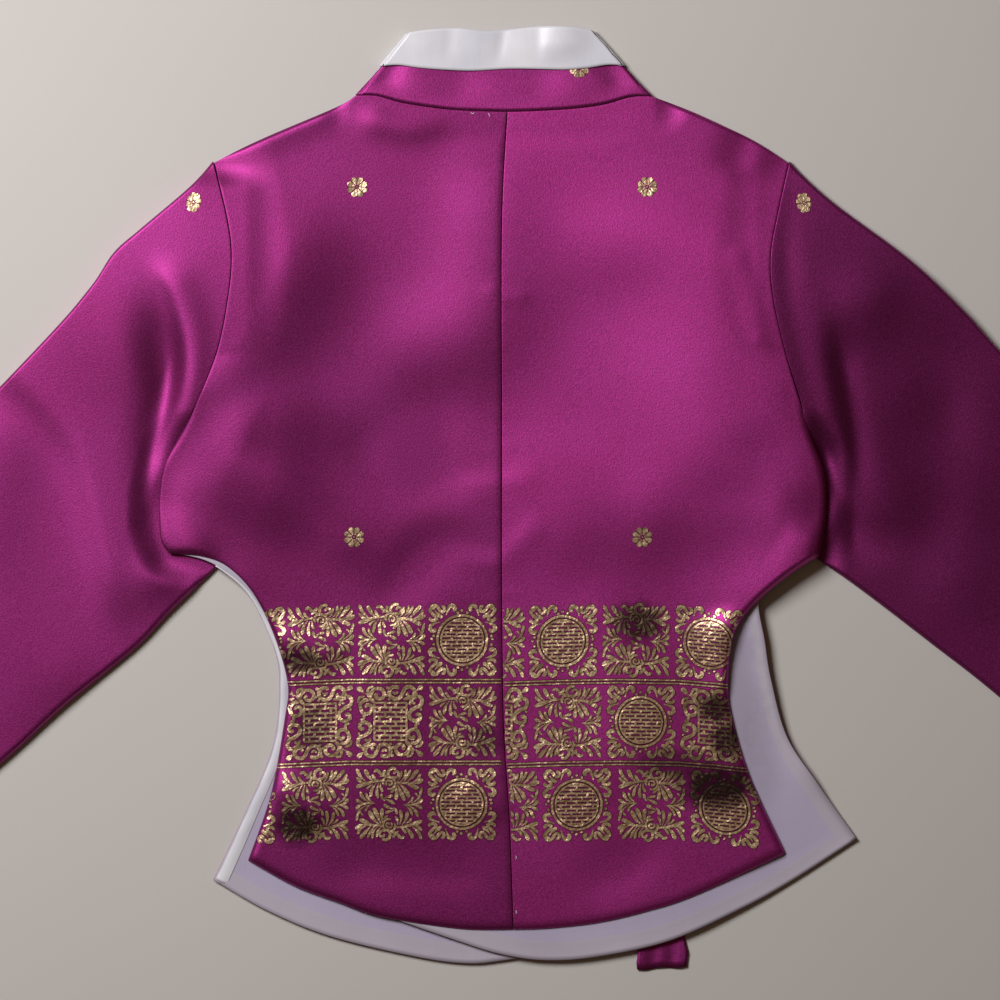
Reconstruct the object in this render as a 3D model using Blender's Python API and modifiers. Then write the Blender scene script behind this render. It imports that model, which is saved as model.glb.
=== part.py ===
"""A woman's Korean hanbok jacket (dangui) laid face down on a flat surface, seen from its back.

Two satin backs meet in a centre seam and lie over two satin fronts, whose lavender linings show
past the back at the side slits and along the hem. Each sleeve is a flattened tube that runs from
the armhole seam to an open cuff, in two layers that meet at its folded edges. The collar band
goes round the back of the neck, folds over at each side of it and crosses on the chest. A white
trim covers its free edge. Two ties lie under the fronts. Tables are in millimetres: across is to
the right, up is towards the collar.
"""

import math

import bpy

MM = 0.001

# Cloth
SATIN_WALL = 1.0
LINING_WALL = 1.0
BAND_WALL = 1.2
TRIM_WALL = 1.0
TIE_WALL = 1.0
SLEEVE_WALL = 1.2
SEAM_GAP = 0.3
BAND_GAP = 0.4
ARMHOLE_GAP = 0.5

# Heights of the middle of each wall above the surface that the jacket lies on
FRONT_LEVEL = SATIN_WALL / 2
LINING_STEP = SATIN_WALL / 2 + SEAM_GAP + LINING_WALL / 2
BACK_STEP = LINING_WALL / 2 + SEAM_GAP + SATIN_WALL / 2 + 0.5
BACK_LEVEL = 6.6
ARMHOLE_LEVEL = 5.3
NECK_LEVEL = 5.8
COLLAR_EDGE_LEVEL = 3.4
TRIM_SINK = SEAM_GAP + TRIM_WALL
TURN_RADIUS = (NECK_LEVEL - BAND_WALL / 2) / 2
LAP_LIFT = 2.8
UNDERARM_LIFT = 4.3
SLEEVE_LEVEL = 5.6
CUFF_LEVEL = 7.2
SLEEVE_FLOOR_LEVEL = SLEEVE_WALL / 2
SLEEVE_FOLD_RADIUS = 1.2
SLEEVE_FOLD_CLEARANCE = 0.55
SLEEVE_EDGE_LEVEL = SLEEVE_FLOOR_LEVEL + 2 * SLEEVE_FOLD_RADIUS

# Outlines: (across, up)
CENTRE_SEAM = ((3.5, 262.5), (-0.3, 186), (-0.3, 60), (-0.3, -57), (1, -154), (5, -220), (7.5, -293.5))
COLLAR_PATH = ((82, 295), (72, 250), (50, 205), (12, 170), (-38, 146), (-100, 128))
COLLAR_HALF_WIDTH = 27.5
BAND_SHARES = (0, 0.2, 0.4, 0.7, 0.98)
TRIM_SHARES = (0.47, 0.73, 1)

LEFT = {
    "sign": -1,
    "neck": ((3.5, 262.5), (-27, 263.4), (-47.5, 265.4), (-68.5, 268.8), (-85, 273.3), (-99.5, 273.6)),
    "collar_top": ((8, 318.8), (-10, 317.4), (-30, 319.3), (-50.5, 318.2), (-64.4, 316)),
    "shoulder": ((-99.5, 273.6), (-111.5, 266), (-155, 247.5), (-177, 237.5), (-196, 228)),
    "armhole": ((-196, 228), (-187, 192), (-183.5, 165), (-186, 135), (-194, 97), (-211, 56), (-228, 24),
                (-232.5, 1)),
    "side": ((-232.5, 1), (-232.8, -15), (-231.5, -30), (-226, -38)),
    "back_slit": ((-226, -38), (-203, -39.8), (-185.5, -47.5), (-168, -66.5), (-154, -96), (-145.5, -127),
                  (-147.5, -150), (-157, -202), (-172.5, -247)),
    "back_hem": ((7.5, -293.5), (-28.5, -293), (-81.5, -285), (-111, -275.2), (-141, -264.3),
                 (-172.5, -247)),
    "front_slit": ((-226, -38), (-206, -42), (-189, -51), (-171.5, -68), (-157, -98), (-151.6, -124),
                   (-156, -169.5), (-177, -219.5), (-196.5, -260.5)),
    "front_hem": ((80, -300), (40, -309), (0, -315.5), (-24, -317.4), (-58, -313), (-117, -299),
                  (-161, -281), (-196.5, -260.5)),
    "front_edge": ((58, 96), (62, 0), (72, -150), (80, -300)),
    "sleeve_top": ((-196, 228), (-212, 211), (-246, 182), (-264, 166), (-281, 141), (-320, 97),
                   (-460, -48), (-586, -179)),
    "sleeve_seam": ((-190, -40), (-198, -50), (-226, -77), (-250, -102), (-298, -141), (-341, -180),
                    (-415, -240), (-478, -283.5)),
    "underarm_up": 40,
    "underarm": ((-224, 12), (-223, -12), (-214, -28), (-190, -40)),
}
RIGHT = {
    "sign": 1,
    "neck": ((3.5, 262.5), (22, 263), (49.5, 264.7), (70, 267.6), (88, 272.6), (102, 273)),
    "collar_top": ((8, 318.8), (28.5, 320.5), (49.5, 319.6), (62, 317.5)),
    "shoulder": ((102, 273), (128.5, 262.7), (150, 253), (172, 242.3), (195, 228)),
    "armhole": ((195, 228), (187.5, 195), (182, 165), (183.5, 136), (192, 98), (206, 52), (217, 22),
                (220, 3)),
    "side": ((220, 3), (219.6, -14), (217.5, -29), (215, -40)),
    "back_slit": ((215, -40), (194, -53.5), (172, -72), (158, -92), (153.7, -122), (155.5, -146),
                  (168, -189), (192.5, -242)),
    "back_hem": ((7.5, -293.5), (31.5, -292.6), (64.5, -288.8), (97, -281.3), (130.5, -270.4),
                 (192.5, -242)),
    "front_slit": ((215, -40), (196, -47), (181.5, -57), (174.8, -71), (178.8, -98), (183, -124),
                   (194, -163), (215.5, -195.6), (241.7, -232.4)),
    "front_hem": ((-80, -284.5), (-28.5, -302.4), (0, -311), (30, -315), (64.5, -312.6), (114, -301.7),
                  (163, -280), (196.5, -261.6), (241.7, -232.4)),
    "front_edge": ((-58, 96), (-62, 0), (-72, -150), (-80, -284.5)),
    "sleeve_top": ((195, 228), (207, 216), (228.5, 197.5), (278, 160.7), (315.5, 125), (338.6, 99),
                   (465, -40), (586, -172.5)),
    "sleeve_seam": ((202, -32), (215.5, -41.5), (243.5, -61), (291.5, -97.7), (338.6, -134.8),
                    (415, -202), (478, -276.5)),
    "underarm_up": 40,
    "underarm": ((214, 14), (212, -10), (208, -24), (202, -32)),
}

# Where heights change, in plan: (place where the change starts, place where it is complete)
LAP_ACROSS_RIGHT = (178, 135)
LAP_ACROSS_LEFT = (-125, -85)
FRONT_LAP_UP = (245, 205)
BACK_LAP_UP = (262, 222)
UNDERARM_ACROSS = {-1: (148, 176), 1: (163, 191)}
UNDERARM_UP_TOP = (94, 58)
UNDERARM_UP_BOTTOM = (-85, -50)
UNDERARM_MARGIN = 12
ARMHOLE_ACROSS = (150, 175)
ARMHOLE_UP_BOTTOM = (50, 90)
ARMHOLE_UP_TOP = (228, 208)
NECK_ACROSS = (122, 102)
NECK_UP = (225, 255)
COLLAR_SAG_ACROSS = (95, 0)
TUCK_UP = (96, 62)
CUFF_ACROSS = (300, 420)

# How far in from each edge the cloth rises to its full height
BACK_REACH = {"shoulder": 14, "armhole": 18, "neck": 20, "side": 12, "back_slit": 16, "back_hem": 18}
SEWN_EDGES = ("armhole", "neck")
SLEEVE_REACH = {"sleeve_top": 14, "sleeve_seam": 16}
TUCK_MARGIN = 3
TUCK_REACH = 20
LINING_INSET = 2

# The largest folds: start, middle and end of the crest (across, up), height, half width
BODY_FOLDS = (
    ((-222, 10), (-222, -15), (-214, -32), 6.0, 17),
    ((-150, 215), (-120, 150), (-105, 60), 3.5, 34),
    ((-30, 170), (-45, 120), (-70, 70), 2.5, 26),
    ((-190, 60), (-150, 30), (-110, 10), 2.5, 26),
    ((60, 190), (110, 120), (150, 20), 3.5, 38),
    ((205, -10), (180, -30), (130, -50), 4.0, 24),
    ((-90, -60), (-30, -50), (20, -60), 2.0, 22),
    ((60, -60), (90, -120), (100, -200), 2.0, 30),
    ((-120, -110), (-110, -180), (-90, -230), 2.0, 28),
)
LEFT_SLEEVE_FOLDS = (
    ((-252, 168), (-212, 150), (-232, 30), 5.5, 15),
    ((-310, 85), (-285, 30), (-270, -70), 4.0, 26),
    ((-245, 120), (-240, 60), (-243, -10), -2.5, 14),
    ((-355, 20), (-340, -60), (-330, -130), 2.5, 30),
    ((-470, -90), (-440, -140), (-410, -200), 2.5, 32),
    ((-215, -52), (-235, -50), (-262, -60), 2.0, 14),
)
RIGHT_SLEEVE_FOLDS = (
    ((192, 200), (194, 120), (222, 30), 2.5, 11),
    ((256, 150), (262, 70), (262, -30), 3.5, 18),
    ((236, 110), (236, 40), (240, -20), -2.0, 13),
    ((320, 80), (315, 10), (310, -70), 3.5, 28),
    ((420, -20), (400, -80), (390, -150), 2.5, 32),
)

# Points across and along each piece
ARMHOLE_STEPS = 8
SIDE_STEPS = 2
SLIT_STEPS = 12
NECK_STEPS = 5
SHOULDER_STEPS = 6
FRONT_COLUMNS = 9
COLLAR_FRONT_STEPS = 8
COLLAR_TURN_STEPS = 4
UNDERARM_STEPS = 3
SLEEVE_STATIONS = 17
SLEEVE_SPACING = 1.4
FOLD_DENSITY = 10

# Ties: middle of the strip (across, up) from its sewn end to its free end
TIE_WIDTH = 34
LONG_TIE = ((76, 100), (84, -20), (98, -180), (109.5, -320.5))
SHORT_TIE = ((135, 100), (133, 20), (131, -60))
TIE_STEPS = 12

COLOURS = {
    "satin": (0.34, 0.035, 0.19, 1),
    "lining": (0.60, 0.56, 0.68, 1),
    "trim": (0.86, 0.86, 0.90, 1),
}
ROUGHNESS = {"satin": 0.35, "lining": 0.7, "trim": 0.4}


def smooth_step(x):
    x = min(max(x, 0.0), 1.0)
    return x * x * (3 - 2 * x)


def rise(distance, reach):
    """Quarter round from 0 at a free edge to 1 at reach."""
    x = min(max(distance / reach, 0.0), 1.0)
    return math.sqrt(1 - (1 - x) ** 2)


def swell(distance, reach):
    """Soft rise from 0 at a seam to 1 at reach."""
    return smooth_step(distance / reach)


def curve(points, fractions, dense=16):
    """Points at the given shares of the length of a smooth curve through the table's points."""
    ends = [points[0], *points, points[-1]]
    line = [points[0]]
    for p0, p1, p2, p3 in zip(ends, ends[1:], ends[2:], ends[3:]):
        for k in range(1, dense + 1):
            t = k / dense
            line.append(tuple(
                0.5 * (2 * b + (c - a) * t + (2 * a - 5 * b + 4 * c - d) * t * t
                       + (3 * b - a - 3 * c + d) * t ** 3)
                for a, b, c, d in zip(p0, p1, p2, p3)))
    lengths = [0.0]
    for p, q in zip(line, line[1:]):
        lengths.append(lengths[-1] + math.dist(p, q))
    found = []
    for f in fractions:
        goal = f * lengths[-1]
        k = next((i for i in range(1, len(line)) if lengths[i] >= goal - 1e-9), len(line) - 1)
        t = (goal - lengths[k - 1]) / max(lengths[k] - lengths[k - 1], 1e-9)
        found.append(tuple(a + (b - a) * t for a, b in zip(line[k - 1], line[k])))
    return found


def fade(value, change):
    """0 before the start of a change and 1 past its end."""
    start, end = change
    return smooth_step((value - start) / (end - start))


def shares(steps):
    return [k / steps for k in range(steps + 1)]


def arc_shares(points):
    """How far along its line each point lies, from 0 to 1."""
    lengths = [0.0]
    for p, q in zip(points, points[1:]):
        lengths.append(lengths[-1] + math.dist(p, q))
    return [length / lengths[-1] for length in lengths]


def distance_to(line, x, y):
    """Distance in plan from a point to a line of points."""
    best = math.inf
    for (ax, ay), (bx, by) in zip(line, line[1:]):
        dx, dy = bx - ax, by - ay
        t = ((x - ax) * dx + (y - ay) * dy) / max(dx * dx + dy * dy, 1e-9)
        t = min(max(t, 0.0), 1.0)
        best = min(best, math.hypot(x - ax - t * dx, y - ay - t * dy))
    return best


def fold_lines(table):
    """Each fold's crest as a line of points, with its height and half width."""
    return [(curve((start, middle, end), shares(FOLD_DENSITY)), height, width)
            for start, middle, end, height, width in table]


def fold_height(folds, x, y):
    """Sum of the rounded ridges and troughs at a point in plan."""
    return sum(height * math.exp(-(distance_to(line, x, y) / width) ** 2) for line, height, width in folds)


def fill(top, bottom, inner, outer, row_shares, column_shares):
    """Rows of plan points that fill four outlines: inner and outer have a point for each row."""
    rows = []
    for v, start, end in zip(row_shares, inner, outer):
        row = []
        for u, t, b in zip(column_shares, top, bottom):
            row.append(tuple(
                (1 - v) * t[k] + v * b[k] + (1 - u) * start[k] + u * end[k]
                - (1 - v) * ((1 - u) * top[0][k] + u * top[-1][k])
                - v * ((1 - u) * bottom[0][k] + u * bottom[-1][k])
                for k in (0, 1)))
        rows.append(row)
    return rows


def outer_edge(side, slit):
    """The panel's outer edge from the shoulder to the hem corner."""
    armhole = curve(side["armhole"], shares(ARMHOLE_STEPS))
    down_side = curve(side["side"], shares(SIDE_STEPS))[1:]
    down_slit = curve(side[slit], shares(SLIT_STEPS))[1:]
    return [*armhole, *down_side, *down_slit]


def lap(x):
    """1 where the two fronts lie on each other, and 0 away from the middle."""
    return fade(x, LAP_ACROSS_RIGHT) * fade(x, LAP_ACROSS_LEFT)


def over_sleeve(side, x, y):
    """1 where the front lies on the sleeve's tucked underarm, and 0 away from it."""
    across = fade(side["sign"] * x, UNDERARM_ACROSS[side["sign"]])
    return across * fade(y, UNDERARM_UP_TOP) * fade(y, UNDERARM_UP_BOTTOM)


def front_height(side, x, y):
    """Height of the front's satin: it rises over the sleeve's underarm and over the other front."""
    z = FRONT_LEVEL + UNDERARM_LIFT * over_sleeve(side, x, y)
    if side["sign"] > 0:
        z += LAP_LIFT * lap(x) * fade(y, FRONT_LAP_UP)
    return z


def back_floor(side, x, y):
    """The lowest that the middle of the back's wall can lie, on the linings."""
    lapped = LAP_LIFT * lap(x) * fade(y, BACK_LAP_UP)
    lifted = UNDERARM_LIFT * max(over_sleeve(side, x, y), over_sleeve(side, x, y - UNDERARM_MARGIN))
    return FRONT_LEVEL + LINING_STEP + BACK_STEP + lapped + lifted


def back_height(side, folds):
    """Height of the back's wall at a point in plan."""
    edges = [(curve(side[name], shares(20)), swell if name in SEWN_EDGES else rise, reach)
             for name, reach in BACK_REACH.items()]

    def edge_level(x, y):
        floor = back_floor(side, x, y)
        at_armhole = (fade(side["sign"] * x, ARMHOLE_ACROSS) * fade(y, ARMHOLE_UP_BOTTOM)
                      * fade(y, ARMHOLE_UP_TOP))
        at_neck = fade(abs(x), NECK_ACROSS) * fade(y, NECK_UP)
        return max(floor + (ARMHOLE_LEVEL - floor) * at_armhole, floor + (NECK_LEVEL - floor) * at_neck)

    def height(x, y):
        level = edge_level(x, y)
        z = max(BACK_LEVEL, back_floor(side, x, y)) + fold_height(folds, x, y)
        for line, profile, reach in edges:
            z = level + (z - level) * profile(distance_to(line, x, y), reach)
        return z

    return height


def neck_edge(side):
    """The back's neckline from the centre seam to the shoulder, which the collar band is sewn to."""
    return curve(side["neck"], shares(NECK_STEPS))


def back_panel(name, side, folds):
    outer = outer_edge(side, "back_slit")
    drop = outer[0][1] - outer[-1][1]
    row_shares = [0.35 * a + 0.65 * (outer[0][1] - p[1]) / drop for a, p in zip(arc_shares(outer), outer)]
    half_gap = side["sign"] * SEAM_GAP / 2
    inner = [(x + half_gap, y) for x, y in curve(CENTRE_SEAM, row_shares)]
    top_line = [*neck_edge(side), *curve(side["shoulder"], shares(SHOULDER_STEPS))[1:]]
    top = [(x, y - SEAM_GAP) for x, y in top_line]
    top[0] = (top[0][0] + half_gap, top[0][1])
    inner[0] = top[0]
    outer[0] = top[-1]
    bottom = curve(side["back_hem"], shares(len(top) - 1))
    bottom[0] = inner[-1]
    plan = fill(top, bottom, inner, outer, row_shares, shares(len(top) - 1))
    height = back_height(side, folds)
    rows = [[(x, y, height(x, y)) for x, y in row] for row in plan]
    return cloth(name, rows, SATIN_WALL, "satin", flip=side["sign"] < 0)


def collar_front(side):
    """(seam point, free point) of the collar band's stations on one front, from the neck down."""
    sign = side["sign"]
    path = [(sign * x, y) for x, y in COLLAR_PATH]
    at = curve(path, shares(COLLAR_FRONT_STEPS))
    ahead = curve(path, [min(f + 0.01, 1) for f in shares(COLLAR_FRONT_STEPS)])
    behind = curve(path, [max(f - 0.01, 0) for f in shares(COLLAR_FRONT_STEPS)])
    stations = []
    for p, q, r in zip(at, ahead, behind):
        dx, dy = q[0] - r[0], q[1] - r[1]
        across = COLLAR_HALF_WIDTH * sign / math.hypot(dx, dy)
        stations.append(((p[0] - dy * across, p[1] + dx * across), (p[0] + dy * across, p[1] - dx * across)))
    stations[0] = collar_turn(side)[0]
    return stations


def collar_turn(side):
    """The lower end of the collar's fold at the neck, then the fold line itself."""
    near, far = side["neck"][-1], side["collar_top"][-1]
    stretch = math.dist(near, far) / (far[1] - near[1])
    in_by = side["sign"] * TURN_RADIUS * stretch
    return ((near[0] - in_by, near[1]), (far[0] - in_by, far[1])), (near, far), stretch


def front_panel(side):
    """Points of the front's satin, row by row, from the shoulder to the hem."""
    outer = outer_edge(side, "front_slit")
    neckline = []
    for near, far in collar_front(side)[:-1]:
        away = BAND_GAP / math.dist(near, far)
        neckline.append(tuple(a + (a - b) * away for a, b in zip(near, far)))
    down = curve(side["front_edge"], shares(len(outer) - len(neckline) - 1))
    inner = [*neckline, *down]
    row_shares = [(a + b) / 2 for a, b in zip(arc_shares(inner), arc_shares(outer))]
    top = curve([inner[0], *side["shoulder"][1:]], shares(FRONT_COLUMNS))
    bottom = curve([inner[-1], *side["front_hem"][1:-1], outer[-1]], shares(FRONT_COLUMNS))
    plan = fill(top, bottom, inner, outer, row_shares, shares(FRONT_COLUMNS))
    return [[(x, y, front_height(side, x, y)) for x, y in row] for row in plan]


def inset(rows, amount):
    """The same grid with its outer points moved in towards their neighbours."""
    moved = [list(row) for row in rows]
    last_row, last_column = len(rows) - 1, len(rows[0]) - 1
    for i, row in enumerate(rows):
        for k, point in enumerate(row):
            i_in = min(max(i, 1), last_row - 1)
            k_in = min(max(k, 1), last_column - 1)
            if (i, k) == (i_in, k_in):
                continue
            target = rows[i_in][k_in]
            share = amount / max(math.dist(point, target), amount)
            moved[i][k] = tuple(a + (b - a) * share for a, b in zip(point, target))
    return moved


def raised(rows, step):
    return [[(x, y, z + step) for x, y, z in row] for row in rows]


def inside(outline, x, y):
    """True where the point lies in the closed outline."""
    found = False
    for (ax, ay), (bx, by) in zip(outline, [*outline[1:], outline[0]]):
        if (ay > y) != (by > y) and x < ax + (bx - ax) * (y - ay) / (by - ay):
            found = not found
    return found


def sleeve_height(side, folds):
    """Height of the sleeve's upper layer at a point in plan. Its underarm lies below the body."""
    edges = [(curve(side[name], shares(30)), reach) for name, reach in SLEEVE_REACH.items()]
    armhole = curve(side["armhole"], shares(ARMHOLE_STEPS))
    body_edge = outer_edge(side, "front_slit")[:-4]
    body = [(0, body_edge[0][1]), *body_edge, (0, body_edge[-1][1])]
    sign = side["sign"]

    def height(x, y):
        z = SLEEVE_LEVEL + (CUFF_LEVEL - SLEEVE_LEVEL) * fade(sign * x, CUFF_ACROSS)
        z += fold_height(folds, x, y)
        outside = 0 if inside(body, x, y) else distance_to(body_edge, x, y) - TUCK_MARGIN
        tucked = SLEEVE_EDGE_LEVEL + (z - SLEEVE_EDGE_LEVEL) * swell(outside, TUCK_REACH)
        z = ARMHOLE_LEVEL + (z - ARMHOLE_LEVEL) * swell(distance_to(armhole, x, y), BACK_REACH["armhole"])
        z += (tucked - z) * fade(y, TUCK_UP)
        for edge, reach in edges:
            z = SLEEVE_EDGE_LEVEL + (z - SLEEVE_EDGE_LEVEL) * rise(distance_to(edge, x, y), reach)
        return z

    return height


def sleeve(word, side, folds):
    """A flattened tube in two layers, which meet at the fold along its top and at its lower seam."""
    sign = side["sign"]
    armhole = curve(side["armhole"], shares(ARMHOLE_STEPS))
    keep = next(k for k, p in enumerate(armhole) if p[1] < side["underarm_up"])
    under = curve([armhole[keep - 1], *side["underarm"]], shares(UNDERARM_STEPS + 1))[1:]
    rim = [*[(x + sign * ARMHOLE_GAP, y) for x, y in armhole[:keep]], *under]
    rim_shares = arc_shares(rim)
    station_shares = [share ** SLEEVE_SPACING for share in shares(SLEEVE_STATIONS)]
    top = curve([rim[0], *side["sleeve_top"][1:]], station_shares)
    seam = curve([rim[-1], *side["sleeve_seam"][1:]], station_shares)
    cuff = [tuple(a + (b - a) * share for a, b in zip(top[-1], seam[-1])) for share in rim_shares]
    height = sleeve_height(side, folds)
    upper_rows = []
    lower_rows = []
    for line in fill(rim, cuff, top, seam, station_shares, rim_shares):
        upper = [(x, y, height(x, y)) for x, y in line]
        upper[0] = (*line[0], SLEEVE_EDGE_LEVEL)
        upper[-1] = (*line[-1], SLEEVE_EDGE_LEVEL)
        lower = [(x, y, SLEEVE_FLOOR_LEVEL) for x, y in line]
        top_edge, seam_edge = (line[1], line[0]), (line[-2], line[-1])
        upper_rows.append([*bend(*top_edge, 1), *upper, *bend(*seam_edge, 1)[::-1]])
        lower_rows.append([*bend(*top_edge, -1), *lower, *bend(*seam_edge, -1)[::-1]])
    cloth(f"sleeve_{word}_back", upper_rows, SLEEVE_WALL, "satin", flip=sign > 0)
    cloth(f"sleeve_{word}_front", lower_rows, SLEEVE_WALL, "satin", flip=sign < 0)


def bend(before, at, way):
    """The quarter round past an edge, outermost point first: way is 1 on the upper layer, -1 on the lower."""
    dx, dy = at[0] - before[0], at[1] - before[1]
    length = math.hypot(dx, dy)
    points = []
    for angle in (math.pi / 2, math.pi / 4):
        out = SLEEVE_FOLD_RADIUS * math.sin(angle) / length
        lift = way * max(SLEEVE_FOLD_RADIUS * math.cos(angle), SLEEVE_FOLD_CLEARANCE)
        z = SLEEVE_FLOOR_LEVEL + SLEEVE_FOLD_RADIUS + lift
        points.append((at[0] + dx * out, at[1] + dy * out, z))
    return points


def collar_stations():
    """Sections of the collar band from the left front's end round the neck to the right front's end.

    Each is (seam point, free point, outward normal), with the points on the middle of the wall.
    """
    ends = []
    for side in (LEFT, RIGHT):
        sign = side["sign"]
        front = []
        for near, far in collar_front(side)[1:]:
            z = front_height(side, *near) + (BAND_WALL - SATIN_WALL) / 2
            front.append(((*near, z), (*far, z), (0, 0, -1)))
        _, (near, far), stretch = collar_turn(side)
        turn = []
        for share in shares(COLLAR_TURN_STEPS):
            angle = math.pi * (1 - share)
            in_by = sign * TURN_RADIUS * stretch * (1 - math.sin(angle))
            z = BAND_WALL / 2 + TURN_RADIUS * (1 + math.cos(angle))
            normal = (sign * stretch * math.sin(angle), 0, math.cos(angle))
            turn.append(((near[0] - in_by, near[1], z), (far[0] - in_by, far[1], z), normal))
        back = []
        for near, far in list(zip(neck_edge(side), curve(side["collar_top"], shares(NECK_STEPS))))[1:-1]:
            sag = fade(abs(near[0]), COLLAR_SAG_ACROSS)
            back.append(((*near, NECK_LEVEL), (*far, NECK_LEVEL + (COLLAR_EDGE_LEVEL - NECK_LEVEL) * sag),
                         (0, 0, 1)))
        ends.append([*front[::-1], *turn, *back[::-1]])
    near, far = LEFT["neck"][0], LEFT["collar_top"][0]
    middle = ((*near, NECK_LEVEL), (*far, COLLAR_EDGE_LEVEL), (0, 0, 1))
    return [*ends[0], middle, *ends[1][::-1]]


def collar_rows(across_shares, offset):
    """Rows across the collar band at the given shares of its width, moved out from its middle."""
    rows = []
    for near, far, normal in collar_stations():
        row = []
        for share in across_shares:
            out = offset - TRIM_SINK * min(share / BAND_SHARES[2], 1)
            row.append(tuple(a + (b - a) * share + out * n for a, b, n in zip(near, far, normal)))
        rows.append(row)
    return rows


def tie_rows(path, sewn_end=None):
    """A flat strip on the surface, from its sewn end to its free end."""
    rows = []
    for x, y in curve(path, shares(TIE_STEPS)):
        rows.append([(x + side * TIE_WIDTH / 2, y, TIE_WALL / 2) for side in (-1, 0, 1)])
    if sewn_end:
        rows[0] = [(*point, TIE_WALL / 2) for point in sewn_end]
    return rows


def long_tie_end():
    """The long tie's sewn end, along the last stretch of the collar band's seam edge."""
    (start, inside), (end, _) = collar_front(LEFT)[-2:]
    away = SEAM_GAP / math.dist(start, inside)
    moved = [(a + (a - b) * away, c + (a - b) * away) for a, b, c in zip(start, inside, end)]
    return [tuple(a + (c - a) * share for a, c in moved) for share in (0.06, 0.5, 0.96)]


def finish(name):
    """The cloth's material, made once."""
    material = bpy.data.materials.get(name)
    if material is None:
        material = bpy.data.materials.new(name)
        material.use_nodes = True
        shader = material.node_tree.nodes["Principled BSDF"]
        shader.inputs["Base Color"].default_value = COLOURS[name]
        shader.inputs["Roughness"].default_value = ROUGHNESS[name]
        shader.inputs["Metallic"].default_value = 0.0
    return material


def cloth(name, rows, wall, material, flip=False):
    """Lofts the rows into one surface and gives it the wall's thickness, half to each side."""
    count = len(rows[0])
    points = [(x * MM, y * MM, z * MM) for row in rows for x, y, z in row]
    faces = []
    for i in range(len(rows) - 1):
        for k in range(count - 1):
            a, b = i * count + k, i * count + k + 1
            face = (a, b, b + count, a + count)
            faces.append(face[::-1] if flip else face)
    mesh = bpy.data.meshes.new(name)
    mesh.from_pydata(points, [], faces)
    mesh.validate()
    mesh.shade_smooth()
    mesh.materials.append(finish(material))
    part = bpy.data.objects.new(name, mesh)
    hanbok.objects.link(part)
    solidify = part.modifiers.new("wall", "SOLIDIFY")
    solidify.thickness = wall * MM
    solidify.offset = 0
    return part


for leftover in list(bpy.data.objects):
    bpy.data.objects.remove(leftover, do_unlink=True)
hanbok = bpy.data.collections.new("hanbok")
bpy.context.scene.collection.children.link(hanbok)

body_folds = fold_lines(BODY_FOLDS)
back_panel("back_left", LEFT, body_folds)
back_panel("back_right", RIGHT, body_folds)
for part_side, word in ((LEFT, "left"), (RIGHT, "right")):
    front = front_panel(part_side)
    lining = raised(inset(front, LINING_INSET), LINING_STEP)
    mirrored = part_side["sign"] < 0
    cloth(f"front_{word}", front, SATIN_WALL, "satin", flip=mirrored)
    cloth(f"lining_{word}", lining, LINING_WALL, "lining", flip=mirrored)
sleeve("left", LEFT, fold_lines(LEFT_SLEEVE_FOLDS))
sleeve("right", RIGHT, fold_lines(RIGHT_SLEEVE_FOLDS))
cloth("collar_band", collar_rows(BAND_SHARES, 0.0), BAND_WALL, "satin")
trim_offset = BAND_WALL / 2 + SEAM_GAP + TRIM_WALL / 2
cloth("collar_trim", collar_rows(TRIM_SHARES, trim_offset), TRIM_WALL, "trim")
cloth("tie_long", tie_rows(LONG_TIE, long_tie_end()), TIE_WALL, "satin", flip=True)
cloth("tie_short", tie_rows(SHORT_TIE), TIE_WALL, "satin", flip=True)
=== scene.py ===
import math

import bpy
import numpy as np
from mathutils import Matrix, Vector
from mathutils.bvhtree import BVHTree


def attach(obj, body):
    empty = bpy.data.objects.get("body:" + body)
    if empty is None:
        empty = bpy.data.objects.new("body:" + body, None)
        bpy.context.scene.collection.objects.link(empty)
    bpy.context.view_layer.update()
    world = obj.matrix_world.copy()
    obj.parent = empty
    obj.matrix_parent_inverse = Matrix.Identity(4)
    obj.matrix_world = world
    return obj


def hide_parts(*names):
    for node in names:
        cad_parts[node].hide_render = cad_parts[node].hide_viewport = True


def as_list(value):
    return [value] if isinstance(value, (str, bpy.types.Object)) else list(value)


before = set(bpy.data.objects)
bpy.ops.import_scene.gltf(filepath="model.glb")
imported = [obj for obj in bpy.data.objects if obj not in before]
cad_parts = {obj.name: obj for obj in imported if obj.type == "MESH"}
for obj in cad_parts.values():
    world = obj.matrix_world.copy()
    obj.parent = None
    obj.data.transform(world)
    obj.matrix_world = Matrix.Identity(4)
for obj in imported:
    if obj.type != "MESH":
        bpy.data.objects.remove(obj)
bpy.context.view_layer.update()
print("frame loaded:", len(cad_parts), "nodes")

mm = 0.001  # tables below are in millimetres: across is to the right, up is towards the collar

cloth = {
    "wall": 0.9, "bandWall": 1.1, "trimWall": 0.9,
    "seamGap": 0.3, "centreGap": 0.7, "bandGap": 0.4, "armholeGap": 0.5,
    "edgeRound": 0.2, "edgeReach": 1.6,  # how far the turned edge of a panel dips, and over what width
    "edgeSteps": (0.4, 1.0, 1.9, 3.0),  # distances from an edge where the mesh is finer
    "crestStep": 7,  # spacing along the crest of a fold
}

# heights of the middle of each layer above the table, as in the frame
level = {
    "front": 0.5, "lining": 1.1, "backAboveLining": 1.1, "back": 6.6, "armhole": 5.3, "neck": 5.8,
    "collarEdge": 3.4, "lapLift": 2.3, "underarmLift": 4.3, "sleeve": 5.6, "cuff": 7.2,
    "sleeveFloor": 0.6, "sleeveEdge": 3.0, "foldRadius": 1.2, "foldOut": 0.4, "tie": 0.5,
    "turnFloor": 0.6,
}

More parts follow.
